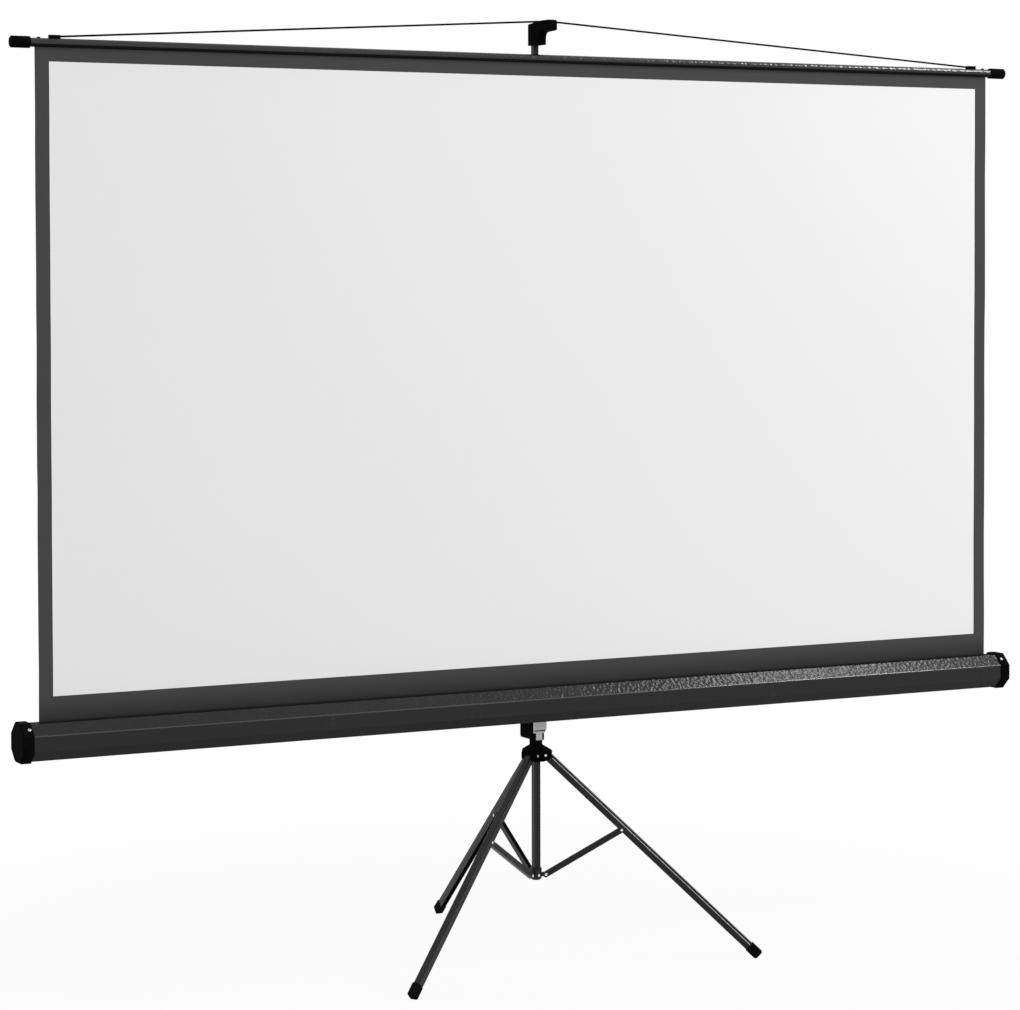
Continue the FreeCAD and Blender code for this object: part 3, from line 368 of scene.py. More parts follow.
@dataclass(frozen=True)
class HammeredPaint(Finish):
    """Stove-enamelled steel with a hammered skin and lighter flecks."""

    rubbed: Colour = grey(0.040, 0.041)
    dust_colour: Colour = (0.13, 0.127, 0.123, 1.0)
    fleck_rough: float = 0.10
    cells: float = 260.0
    wear: float = 0.30
    dust: float = 0.05

    def layers(self, sheet: NodeSheet) -> tuple[Socket, Socket, Socket]:
        """Lays dimples, flecks, rubs and dust.

        Args:
            sheet: The material's node sheet.

        Returns:
            Sockets of the colour, the roughness and the height.
        """
        skin = sheet.put(hammered_group(), Cells=self.cells)
        wear = sheet.put(wear_group(), Amount=self.wear).outputs["Mask"]
        dust = sheet.put(dust_group(), Amount=self.dust).outputs["Mask"]
        flecks = skin.outputs["Flecks"]
        base = sheet.blend(flecks, self.colour, self.second)
        base = sheet.blend(dust, sheet.blend(wear, base, self.rubbed), self.dust_colour)
        rough = sheet.calc("MULTIPLY_ADD", flecks, self.fleck_rough, self.roughness)
        return base, sheet.calc("ADD", rough, dust), skin.outputs["Height"]


@dataclass(frozen=True)
class Moulding(Finish):
    """Moulded plastic or rubber with a fine grain and patches."""

    roughness: float = 0.55
    specular: float = 0.003
    depth: float = 0.00015
    strength: float = 0.25
    dust_colour: Colour = (0.07, 0.069, 0.067, 1.0)
    patch_rough: float = 0.12
    grain: float = 1500.0
    dust: float = 0.03

    def layers(self, sheet: NodeSheet) -> tuple[Socket, Socket, Socket]:
        """Lays grain, patches and dust.

        Args:
            sheet: The material's node sheet.

        Returns:
            Sockets of the colour, the roughness and the height.
        """
        grain = sheet.put(grain_group(), Grain=self.grain)
        dust = sheet.put(dust_group(), Amount=self.dust).outputs["Mask"]
        patches = grain.outputs["Patches"]
        base = sheet.blend(dust, sheet.blend(patches, self.colour, self.second), self.dust_colour)
        rough = sheet.calc("MULTIPLY_ADD", patches, self.patch_rough, self.roughness)
        return base, rough, grain.outputs["Height"]


@dataclass(frozen=True)
class BareMetal(Finish):
    """Bright steel or a metallic coat, with faint tarnish and rubs."""

    roughness: float = 0.3
    specular: float = 0.5
    metallic: float = 1.0
    depth: float = 0.00006
    strength: float = 0.2
    rub_rough: float = 0.25
    grain: float = 2600.0
    patches: float = 140.0
    rub_size: float = 160.0
    rubs: float = 0.6

    def layers(self, sheet: NodeSheet) -> tuple[Socket, Socket, Socket]:
        """Lays grain, tarnish and rubs.

        Args:
            sheet: The material's node sheet.

        Returns:
            Sockets of the colour, the roughness and the height.
        """
        grain = sheet.put(grain_group(), Grain=self.grain, Patches=self.patches)
        wear = sheet.put(wear_group(), Size=self.rub_size, Amount=self.rubs).outputs["Mask"]
        base = sheet.blend(grain.outputs["Patches"], self.colour, self.second)
        rough = sheet.calc("MULTIPLY_ADD", wear, self.rub_rough, self.roughness)
        return base, rough, grain.outputs["Height"]


@dataclass(frozen=True)
class ScreenCloth(Finish):
    """Coated cloth: the viewing face, the dark border or the backing."""

    roughness: float = 0.85
    specular: float = 0.15
    depth: float = 0.0001
    strength: float = 0.10
    thread_rough: float = 0.08
    slot_shade: float = 1.0
    slot_band: Span = (0.590, 0.640)

    def layers(self, sheet: NodeSheet) -> tuple[Socket, Socket, Socket]:
        """Lays the weave, its slow tones and a painted shade that darkens the border towards the case's
        slot.

        Args:
            sheet: The material's node sheet.

        Returns:
            Sockets of the colour, the roughness and the height.
        """
        weave = sheet.put(weave_group())
        threads = weave.outputs["Height"]
        tone = sheet.blend(weave.outputs["Tone"], self.second, self.colour)
        # Painted shade: the border darkens towards the slot where the cloth enters the case.
        if self.slot_shade < 1.0:
            place = sheet.add("ShaderNodeSeparateXYZ", {0: place_in(sheet)})
            slot_shade_ramp = sheet.ramp(place.outputs["Z"], *self.slot_band, self.slot_shade, 1.0)
            dim = sheet.add("ShaderNodeVectorMath", {0: tone, "Scale": slot_shade_ramp}, operation="SCALE")
            tone = dim.outputs["Vector"]
        rough = sheet.calc("MULTIPLY_ADD", threads, self.thread_rough, self.roughness)
        return tone, rough, threads


class Palette:
    """Every finish on the screen and its stand, built on first use."""

    finishes = {finish.name: finish for finish in (
        HammeredPaint("case_paint", grey(0.008, 0.0082), grey(0.013, 0.0132), roughness=0.17,
                      specular=0.26, cells=150.0, strength=1.1),
        # case_under_shade: painted shade, a dull copy of case_paint for the case's lower faces.
        HammeredPaint("case_under_shade", grey(0.027, 0.0274), grey(0.036, 0.0364), roughness=0.4,
                      specular=0.02, cells=150.0, wear=0.1, dust=0.0),
        # rail_under: flat dark paint; on the rail's lower half it is painted shade.
        HammeredPaint("rail_under", grey(0.008, 0.0082), grey(0.013, 0.0132), roughness=0.4,
                      specular=0.02, cells=130.0, wear=0.1, dust=0.0),
        HammeredPaint("rail_paint", grey(0.005, 0.0051), grey(0.010, 0.0102), roughness=0.22,
                      specular=0.52, cells=120.0, strength=1.6),
        HammeredPaint("tube_paint", grey(0.015, 0.0153), grey(0.022, 0.0224), roughness=0.34,
                      specular=0.16, cells=420.0, depth=0.0004, strength=0.3, wear=0.4),
        # bend_sheen: lighter, glossier paint, a painted highlight on the case's bends and the legs' folds.
        HammeredPaint("bend_sheen", grey(0.024, 0.0243), grey(0.040, 0.0404), roughness=0.16,
                      specular=0.65, strength=0.1, wear=0.5),
        HammeredPaint("trim_paint", grey(0.0035, 0.0036), grey(0.006, 0.0061), specular=0.015,
                      cells=700.0, depth=0.0002, strength=0.2, wear=0.1, dust=0.0),
        Moulding("black_moulding", grey(0.0028), grey(0.0042)),
        Moulding("foot_rubber", grey(0.0030), grey(0.0055, 0.0053), roughness=0.75,
                 specular=0.02, grain=900.0, dust=0.06),
        BareMetal("bright_steel", grey(0.74, 0.73), grey(0.58, 0.57)),
        # fold_highlight: bright steel strip, a painted highlight on the front-right leg's fold.
        BareMetal("fold_highlight", grey(0.70), grey(0.40), roughness=0.4),
        BareMetal("lever_coat", (0.60, 0.615, 0.605, 1.0), (0.54, 0.555, 0.545, 1.0),
                  roughness=0.5, metallic=0.2),
        ScreenCloth("view_face", grey(0.90), grey(0.885)),
        ScreenCloth("border_face", grey(0.054), grey(0.047), roughness=0.45, specular=0.22,
                    strength=0.2, slot_shade=0.45),
        ScreenCloth("cloth_back", grey(0.016), grey(0.012), strength=0.2),
    )}

    @classmethod
    @cache
    def get(cls, name: str) -> bpy.types.Material:
        """Returns the material of a finish."""
        return cls.finishes[name].material()


# Mesh helpers


def dress(finish: str, *nodes: str) -> None:
    """Gives solid nodes a finish.

    Args:
        finish: The finish's name.
        nodes: Names of the nodes.
    """
    for node in nodes:
        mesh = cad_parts[node].data
        mesh.materials.clear()
        mesh.materials.append(Palette.get(finish))
        LOG.info("%s: %s", node, finish)


def set_piece(name: str, maker: bmesh.types.BMesh, finishes: Iterable[str], body: str) -> bpy.types.Object:
    """Turns a bmesh into a piece that rides on a body.

    Args:
        name: The piece's name.
        maker: The bmesh, which is freed.
        finishes: Names of its finishes, in slot order.
        body: The body that it rides on.

    Returns:
        The new object.
    """
    bmesh.ops.recalc_face_normals(maker, faces=maker.faces)
    mesh = bpy.data.meshes.new(name)
    maker.to_mesh(mesh)
    maker.free()
    piece = bpy.data.objects.new(name, mesh)
    bpy.context.scene.collection.objects.link(piece)
    for finish in finishes:
        mesh.materials.append(Palette.get(finish))
    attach(piece, body)
    LOG.info("%s: %d faces on %s", name, len(mesh.polygons), body)
    return piece


def keep_sharp(face: bmesh.types.BMFace) -> None:
    """Marks a face's edges as sharp."""
    for edge in face.edges:
        edge.smooth = False


def frame_at(place: Vector, axis: Vector) -> Matrix:
    """Returns a frame at place whose Z runs along axis."""
    return Matrix.Translation(place) @ axis.to_track_quat("Z", "Y").to_matrix().to_4x4()


class HeadStyle(Enum):
    """Kinds of fastener heads on the stand."""

    RIVET = "rivet"
    CROSS_SCREW = "cross screw"


@dataclass(frozen=True)
class FastenerHead:
    """One round head; rim, arm, arm_width and recess are shares of its size."""

    radius: float
    height: float
    style: HeadStyle = HeadStyle.RIVET
    around: int = 32
    rings: int = 14
    sink: float = 0.0002
    rim: float = 0.35
    fullness: float = 2.4
    arm: float = 0.58
    arm_width: float = 0.15
    recess: float = 0.45

    def crown(self, x: float, y: float) -> float:
        """Returns the head's height over a place on its base.

        Args:
            x: Place across.
            y: Place across, square to x.

        Returns:
            The height in metres.
        """
        share = min(1.0, math.hypot(x, y) / self.radius)
        bulge = math.sqrt(max(0.0, 1.0 - share ** self.fullness))
        dome = self.height * (self.rim + (1 - self.rim) * bulge)
        if self.style is HeadStyle.CROSS_SCREW:
            small, large = sorted((abs(x), abs(y)))
            if small < self.radius * self.arm_width and large < self.radius * self.arm:
                dome -= self.height * self.recess
        return dome

    def circle(self, radius: float) -> list[Span]:
        """Returns points on a circle round the head's axis."""
        angles = (2 * math.pi * step / self.around for step in range(self.around))
        return [(radius * math.cos(angle), radius * math.sin(angle)) for angle in angles]

    def add_to(self, maker: bmesh.types.BMesh, place: Vector, axis: Vector) -> None:
        """Adds the head to a mesh.

        Args:
            maker: The bmesh that gets it.
            place: The middle of its seat.
            axis: The direction it stands out in.
        """
        turn = frame_at(place, axis)
        top = maker.verts.new(turn @ Vector((0, 0, self.crown(0, 0))))
        loops = []
        for ring in range(1, self.rings + 1):
            points = self.circle(self.radius * ring / self.rings)
            loops.append([maker.verts.new(turn @ Vector((x, y, self.crown(x, y))))
                          for x, y in points])
        base = [maker.verts.new(turn @ Vector((x, y, -self.sink)))
                for x, y in self.circle(self.radius)]
        loops.append(base)
        smooth = self.style is HeadStyle.RIVET
        for step in range(self.around):
            after = (step + 1) % self.around
            maker.faces.new((top, loops[0][step], loops[0][after])).smooth = True
            for inner, outer in zip(loops, loops[1:]):
                corners = (inner[step], outer[step], outer[after], inner[after])
                maker.faces.new(corners).smooth = smooth
        maker.faces.new(base)


def set_heads(name: str, head: FastenerHead, seats: Iterable[Seat], body: str,
              finish: str = "bright_steel", stands_for: Optional[str] = None) -> None:
    """Builds a set of equal heads as one piece.

    Args:
        name: The piece's name.
        head: The head that repeats.
        seats: Places and axes of the heads.
        body: The body that they ride on.
        finish: The finish's name.
        stands_for: The node that they replace, if any.
    """
    maker = bmesh.new()
    for place, axis in seats:
        head.add_to(maker, place, axis)
    piece = set_piece(name, maker, (finish,), body)
    if stands_for:
        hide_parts(stands_for)


def fold_strip(maker: bmesh.types.BMesh, start: Vector, end: Vector, across: Vector,
               normal: Vector, slot: int = 0) -> None:
    """Adds a thin ribbon that lies on a fold or a flat face.

    Args:
        maker: The bmesh that gets it.
        start: One end of the ribbon.
        end: The other end.
        across: Half the ribbon's width, as a vector.
        normal: The surface's outward direction.
        slot: Index of its finish.
    """
    rise = normal.normalized() * COAT_LIFT
    corners = (start - across, end - across, end + across, start + across)
    top = [maker.verts.new(corner + rise) for corner in corners]
    low = [maker.verts.new(corner - rise) for corner in corners]
    faces = [maker.faces.new(top), maker.faces.new(low[::-1])]
    for i, j in zip((0, 1, 2, 3), (1, 2, 3, 0)):
        faces.append(maker.faces.new((top[i], low[i], low[j], top[j])))
    for face in faces:
        face.material_index = slot


def arc_shell(maker: bmesh.types.BMesh, middle: Span, radii: Span, angles: Span, reach: Span,
              facing: int, steps: int = 8) -> None:
    """Adds a closed curved shell that runs along the object's width.

    Args:
        maker: The bmesh that gets it.
        middle: The arc's centre, as depth and height.
        radii: Outer and inner radius.
        angles: First and last angle above the level, in degrees.
        reach: Left and right end.
        facing: -1 for the front, 1 for the back.
        steps: Divisions of the arc.
    """
    skins = []
    for radius in radii:
        rows = []
        for step in range(steps + 1):
            angle = math.radians(angles[0] + (angles[1] - angles[0]) * step / steps)
            y = middle[0] + facing * radius * math.cos(angle)
            z = middle[1] + radius * math.sin(angle)
            rows.append([maker.verts.new((x, y, z)) for x in reach])
        for a, b in zip(rows, rows[1:]):
            maker.faces.new((a[0], a[1], b[1], b[0])).smooth = True
        skins.append(rows)
    outer, inner = skins
    for row in (0, -1):
        keep_sharp(maker.faces.new((*outer[row], *reversed(inner[row]))))
    for end in (0, 1):
        for row in range(steps):
            ring = (outer[row], outer[row + 1], inner[row + 1], inner[row])
            keep_sharp(maker.faces.new([pair[end] for pair in ring]))


# Sub-assemblies


@dataclass
class ScreenSheet:
    """The pull-up sheet: viewing area, dark border and black backing."""

    view_half: float = 1.107
    view_low: float = 0.638
    view_high: float = 1.883
    top: float = 1.9141
    slot: float = 0.585
    roll_radius: float = 0.0203
    thick: float = 0.0006
    edge_wander: float = 0.0011
    edge_curl: float = 0.0022
    edge_reach: float = 0.12
    top_hold: float = 0.15
    slot_hold: float = 0.12
    view_columns: int = 96
    border_columns: int = 4
    header_rows: int = 6
    view_rows: int = 72
    border_rows: int = 8
    lead_rows: int = 4
    lead_length: float = 0.0273
    drop: float = 0.6

    def columns(self) -> list[float]:
        """Returns the grid's places across, with lines on the border.

        Returns:
            Places from left to right.
        """
        step = self.view_half * 2 / self.view_columns
        inner = [-self.view_half + step * i for i in range(self.view_columns + 1)]
        band = (CLOTH_HALF - self.view_half) / self.border_columns
        left = [-CLOTH_HALF + band * i for i in range(self.border_columns)]
        return left + inner + [-x for x in reversed(left)]

    def rows(self, low: float, high: float, count: int) -> list[float]:
        """Returns heights from high down to low."""
        return [high + (low - high) * i / count for i in range(count + 1)]

    def ripple(self, x: float, z: float, seed: float, lane: float, pitch: float) -> float:
        """Returns a smooth wave along the side edge that x lies on."""
        return noise.noise(Vector((math.copysign(seed, x), lane, z * pitch)))

    def shift(self, x: float, z: float) -> Span:
        """Returns how far the cloth's edge wanders sideways and curls.

        Args:
            x: Place across.
            z: Height.

        Returns:
            Sideways and outward shifts.
        """
        near = max(0.0, 1.0 - (CLOTH_HALF - abs(x)) / self.edge_reach) ** 2
        hold = min(1.0, max(0.0, (self.top - z) / self.top_hold))
        hold *= min(1.0, max(0.0, (z - self.slot) / self.slot_hold))
        wander = self.ripple(x, z, seed=3.0, lane=0.0, pitch=4.0)
        wander += self.ripple(x, z, seed=7.0, lane=2.0, pitch=11.0) / 2
        curl = self.ripple(x, z, seed=5.0, lane=9.0, pitch=3.0)
        return near * hold * wander * self.edge_wander, near * hold * curl * self.edge_curl

    def lead(self) -> list[Span]:
        """Returns the run from the slot to the roll inside the case.

        Returns:
            Depths and heights along the run.
        """
        swing = math.acos(self.roll_radius / (self.slot - CASE_Z))
        depth = self.roll_radius * math.sin(swing)
        fall = CASE_Z + self.roll_radius * math.cos(swing) - self.slot
        shares = [i / self.lead_rows for i in range(1, self.lead_rows + 1)]
        return [(depth * share, self.slot + fall * share) for share in shares]

    def slab(self, name: str, path: Sequence[Span], body: str) -> bpy.types.Object:
        """Builds one stretch of the sheet as a thin closed slab.

        Args:
            name: The piece's name.
            path: Depths and heights of its rows, from the top down.
            body: The body that it rides on.

        Returns:
            The new piece.
        """
        across = self.columns()
        maker = bmesh.new()
        layers = []
        for offset in (-self.thick / 2, self.thick / 2):
            layer = []
            for y, z in path:
                shifts = [self.shift(x, z) for x in across]
                layer.append([maker.verts.new((x + dx, SCREEN_Y + y + dy + offset, z))
                              for x, (dx, dy) in zip(across, shifts)])
            layers.append(layer)
        front, back = layers
        last = len(across) - 1
        for r in range(len(path) - 1):
            z_mid = (path[r][1] + path[r + 1][1]) / 2
            for c in range(last):
                x_mid = (across[c] + across[c + 1]) / 2
                inside = abs(x_mid) < self.view_half and self.view_low < z_mid < self.view_high
                face = maker.faces.new((front[r][c], front[r + 1][c], front[r + 1][c + 1],
                                        front[r][c + 1]))
                face.material_index = 0 if inside else 1
                face.smooth = True
                face = maker.faces.new((back[r][c], back[r][c + 1], back[r + 1][c + 1],
                                        back[r + 1][c]))
                face.material_index = 2
                face.smooth = True
        rims = [(front[r][c], back[r][c], back[r + 1][c], front[r + 1][c])
                for r in range(len(path) - 1) for c in (0, last)]
        rims += [(front[r][c], back[r][c], back[r][c + 1], front[r][c + 1])
                 for r in (0, len(path) - 1) for c in range(last)]
        for rim in rims:
            face = maker.faces.new(rim)
            face.material_index = 1
            keep_sharp(face)
        finishes = ("view_face", "border_face", "cloth_back")
        piece = set_piece(name, maker, finishes, body)
        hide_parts("screen_fabric")
        return piece

    def build(self) -> None:
        """Builds the header strip and the hanging sheet."""
        heights = self.rows(self.view_high, self.top, self.header_rows)
        header = self.slab("screen_header", [(0.0, z) for z in heights], "extension")
        heights = self.rows(self.view_low, self.view_high, self.view_rows)
        heights += self.rows(self.slot, self.view_low, self.border_rows)[1:]
        path = [(0.0, z) for z in heights] + self.lead()
        sheet = self.slab("screen_sheet", path, "carriage")
        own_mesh(sheet)


@dataclass
class WoundRoll:
    """The turns of cloth that stay on the roller."""

    inner: float = 0.01805
    outer: float = 0.0196
    thick: float = 0.0005
    turns: float = 2.6
    steps: int = 48

    def build(self) -> None:
        """Builds the wound cloth as a spiral sleeve."""
        count = int(self.turns * self.steps)
        maker = bmesh.new()
        rows = []
        for i in range(count + 1):
            share = i / count
            angle = 2 * math.pi * self.turns * share
            under = self.inner + (self.outer - self.thick - self.inner) * share
            row = []
            for radius in (under, under + self.thick):
                y, z = SCREEN_Y + radius * math.sin(angle), CASE_Z + radius * math.cos(angle)
                row += [maker.verts.new((x, y, z)) for x in (-CLOTH_HALF, CLOTH_HALF)]
            rows.append(row)
        for a, b in zip(rows, rows[1:]):
            for i, j in ((0, 1), (1, 3), (3, 2), (2, 0)):
                maker.faces.new((a[i], a[j], b[j], b[i])).smooth = i in (0, 3)
        for row in (rows[0], rows[-1]):
            maker.faces.new((row[0], row[1], row[3], row[2]))
        roll = set_piece("wound_cloth", maker, ("cloth_back",), "roller")
        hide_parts("fabric_roll")


@dataclass
class TopRail:
    """The slotted rail with its caps, rivets, clips and wire bail."""

    rivet_place: float = 1.128
    rail_top: float = 1.9285
    rivet: FastenerHead = FastenerHead(0.0036, 0.0022, sink=0.0009)
    coat: float = 0.00008
    shade_depth: float = 0.0005
    shade_angles: Span = (-18.0, -74.0)

    def build(self) -> None:
        """Dresses the rail's nodes and sets its rivet heads."""
        dress("rail_paint", "rail_tube")
        dress("black_moulding", "rail_cap_left", "rail_cap_right", "fabric_spline")
        dress("trim_paint", "bail_clips", "bail_wire", "rail_rivets")
        seats = [(Vector((side.value * self.rivet_place, SCREEN_Y, self.rail_top)), UP)
                 for side in Side]
        set_heads("rail_rivet_domes", self.rivet, seats, "extension", "trim_paint", "rail_rivets")
        self.underside()

    def underside(self) -> None:
        """Lays a flat dark coat along the rail's lower half, as painted shade."""
        low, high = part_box("rail_tube")
        radius = (high[1] - low[1]) / 2
        middle = (SCREEN_Y, high[2] - radius)
        radii = (radius + self.coat, radius - self.shade_depth)
        reach = (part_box("rail_cap_left")[1][0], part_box("rail_cap_right")[0][0])
        maker = bmesh.new()
        for facing in BOTH:
            arc_shell(maker, middle, radii, self.shade_angles, reach, facing)
        set_piece("rail_underside", maker, ("rail_under",), "extension")


@dataclass
class CaseUnit:
    """The eight-sided case with its caps and screws, and the roller in it."""

    flats: float = 0.073
    cap_flats: float = 0.0795
    screw_place: float = 1.1653
    screw: FastenerHead = FastenerHead(0.0036, 0.0021, HeadStyle.CROSS_SCREW)
    coat_half: float = 1.1580
    coat_share: float = 0.994
    slot_front: float = 0.004
    slot_rear: float = 0.006
    roof_margin: float = 0.0002
    bend_radius: float = 0.0030
    bend_inner: float = 0.00075
    bend_proud: float = 0.00032
    bend_angles: Span = (0.0, 45.0)
    bend_steps: int = 10

    @property
    def half(self) -> float:
        """Half the case's width across flats."""
        return self.flats / 2

    @property
    def side(self) -> float:
        """Half the width of one flat."""
        return self.half * OCTAGON

    def build(self) -> None:
        """Dresses the case's nodes and lays its coats, with a painted highlight on the bends and painted
        shade on the lower faces.
        """
        dress("case_paint", "case_shell", "swivel_plate", "case_backplate")
        dress("black_moulding", "end_cap_left", "end_cap_right", "roller_plug_left",
              "roller_plug_right")
        dress("bright_steel", "end_cap_screws", "swivel_bolt", "roller_tube", "axle_left",
              "axle_right", "roller_spring")
        self.screws()
        self.bends()
        self.underside()
        self.roof()

    def screws(self) -> None:
        """Sets cross-head screws on the caps' sloped faces."""
        reach = self.cap_flats / 2 / math.sqrt(2)
        seats = []
        for side in Side:
            for facing in BOTH:
                place = (side.value * self.screw_place, SCREEN_Y + reach * facing, CASE_Z + reach)
                seats.append((Vector(place), Vector((0, facing, 1)).normalized()))
        set_heads("case_screw_heads", self.screw, seats, "carriage", stands_for="end_cap_screws")

    def bends(self) -> None:
        """Rolls the rounded bends along the sheet's upper folds, in the lighter, glossier bend_sheen paint
        that is a painted highlight.
        """
        inner = self.half - self.bend_radius + self.bend_proud
        radii = (self.bend_radius, self.bend_inner)
        maker = bmesh.new()
        for facing in BOTH:
            middle = (SCREEN_Y + facing * inner, CASE_Z + inner * OCTAGON)
            arc_shell(maker, middle, radii, self.bend_angles, (-self.coat_half, self.coat_half),
                      facing, self.bend_steps)
        set_piece("case_bends", maker, ("bend_sheen",), "carriage")

    def coat(self, maker: bmesh.types.BMesh, near: Span, far: Span, normal: Span,
             share: float = 1.0) -> None:
        """Lays a thin coat on one long face.

        Args:
            maker: The bmesh that gets it.
            near: One long edge, as depth and height from the case's middle.
            far: The other long edge.
            normal: The face's outward direction, as depth and height.
            share: How much of the face's width it covers.
        """
        first, second = Vector((0, *near)), Vector((0, *far))
        middle = (first + second) / 2 + Vector((0, SCREEN_Y, CASE_Z))
        reach = Vector((self.coat_half, 0, 0))
        fold_strip(maker, middle - reach, middle + reach, (second - first) * share / 2,
                   Vector((0, *normal)))

    def underside(self) -> None:
        """Lays a duller, darker copy of the case paint on the case's lower faces, as painted shade."""
        half, side = self.half, self.side
        maker = bmesh.new()
        for facing in BOTH:
            self.coat(maker, (facing * side, -half), (facing * half, -side), (facing, -1),
                      self.coat_share)
        self.coat(maker, (-side, -half), (side, -half), (0, -1), self.coat_share)
        set_piece("case_underside", maker, ("case_under_shade",), "carriage")

    def roof(self) -> None:
        """Lays the flat coat on the two faces beside the slot."""
        edge = self.side - self.roof_margin
        front, rear = self.slot_front + self.roof_margin, self.slot_rear + self.roof_margin
        maker = bmesh.new()
        for near, far in ((-edge, -front), (rear, edge)):
            self.coat(maker, (near, self.half), (far, self.half), (0, 1))
        set_piece("case_roof", maker, ("rail_under",), "carriage")


@dataclass
class MastUnit:
    """Mast, extension, hook head, ferrule and knob."""

    rivet_y: float = MAST_Y - 0.0126
    rivet_z: float = 0.1742
    rivet: FastenerHead = FastenerHead(0.0030, 0.0018, sink=0.0008)

    def build(self) -> None:
        """Dresses the mast's nodes and sets the hub's rivet head."""
        dress("tube_paint", "mast_tube", "extension_tube", "lower_hub")
        dress("black_moulding", "mast_ferrule", "lock_knob", "hook_head", "extension_plug")
        dress("trim_paint", "hook_pin")
        dress("bright_steel", "hub_rivet")
        seat = (Vector((0, self.rivet_y, self.rivet_z)), Vector((0, -1, 0)))
        set_heads("hub_rivet_dome", self.rivet, [seat], "mast", stands_for="hub_rivet")


@dataclass
class Carriage:
    """The slider that holds the case on the mast, with its latch."""

    # A black strip in the groove between the block and the lip: painted shade.
    groove_shade_x: Span = (-0.0140, 0.0098)
    groove_shade_z: Span = (0.4868, 0.4892)
    groove_shade_y: float = MAST_Y - 0.0243
    lip_x: Span = (-0.0147, 0.0098)
    lip_z: Span = (0.4830, 0.4868)
    lip_y: float = MAST_Y - 0.0242
    strip_depth: float = 0.006
    strip_bevel: float = 0.0003

    def build(self) -> None:
        """Dresses the carriage's nodes and lays the lever's lip and a black strip along the groove above
        it, as painted shade.
        """
        dress("black_moulding", "carriage")
        dress("lever_coat", "latch_lever")
        dress("trim_paint", "latch_pin")
        dress("bright_steel", "latch_spring")
        lip = self.strip(self.lip_x, self.lip_y, self.lip_z)
        set_piece("latch_lip_face", lip, ("lever_coat",), "latch")
        # Painted shade in the latch's groove.
        groove_shade = self.strip(self.groove_shade_x, self.groove_shade_y, self.groove_shade_z)
        set_piece("latch_groove_shade", groove_shade, ("black_moulding",), "latch")

    def strip(self, wide: Span, front: float, tall: Span) -> bmesh.types.BMesh:
        """Builds one bevelled strip on the lever's front.

        Args:
            wide: Left and right end.
            front: Where its front lies.
            tall: Lower and upper edge.

        Returns:
            The strip's bmesh.
        """
        maker = bmesh.new()
        bmesh.ops.create_cube(maker, size=1.0)
        for vert in maker.verts:
            vert.co.x = wide[0] if vert.co.x < 0 else wide[1]
            vert.co.y = front if vert.co.y < 0 else front + self.strip_depth
            vert.co.z = tall[0] if vert.co.z < 0 else tall[1]
        bmesh.ops.bevel(maker, geom=maker.edges[:], offset=self.strip_bevel, segments=2,
                        affect="EDGES")
        return maker


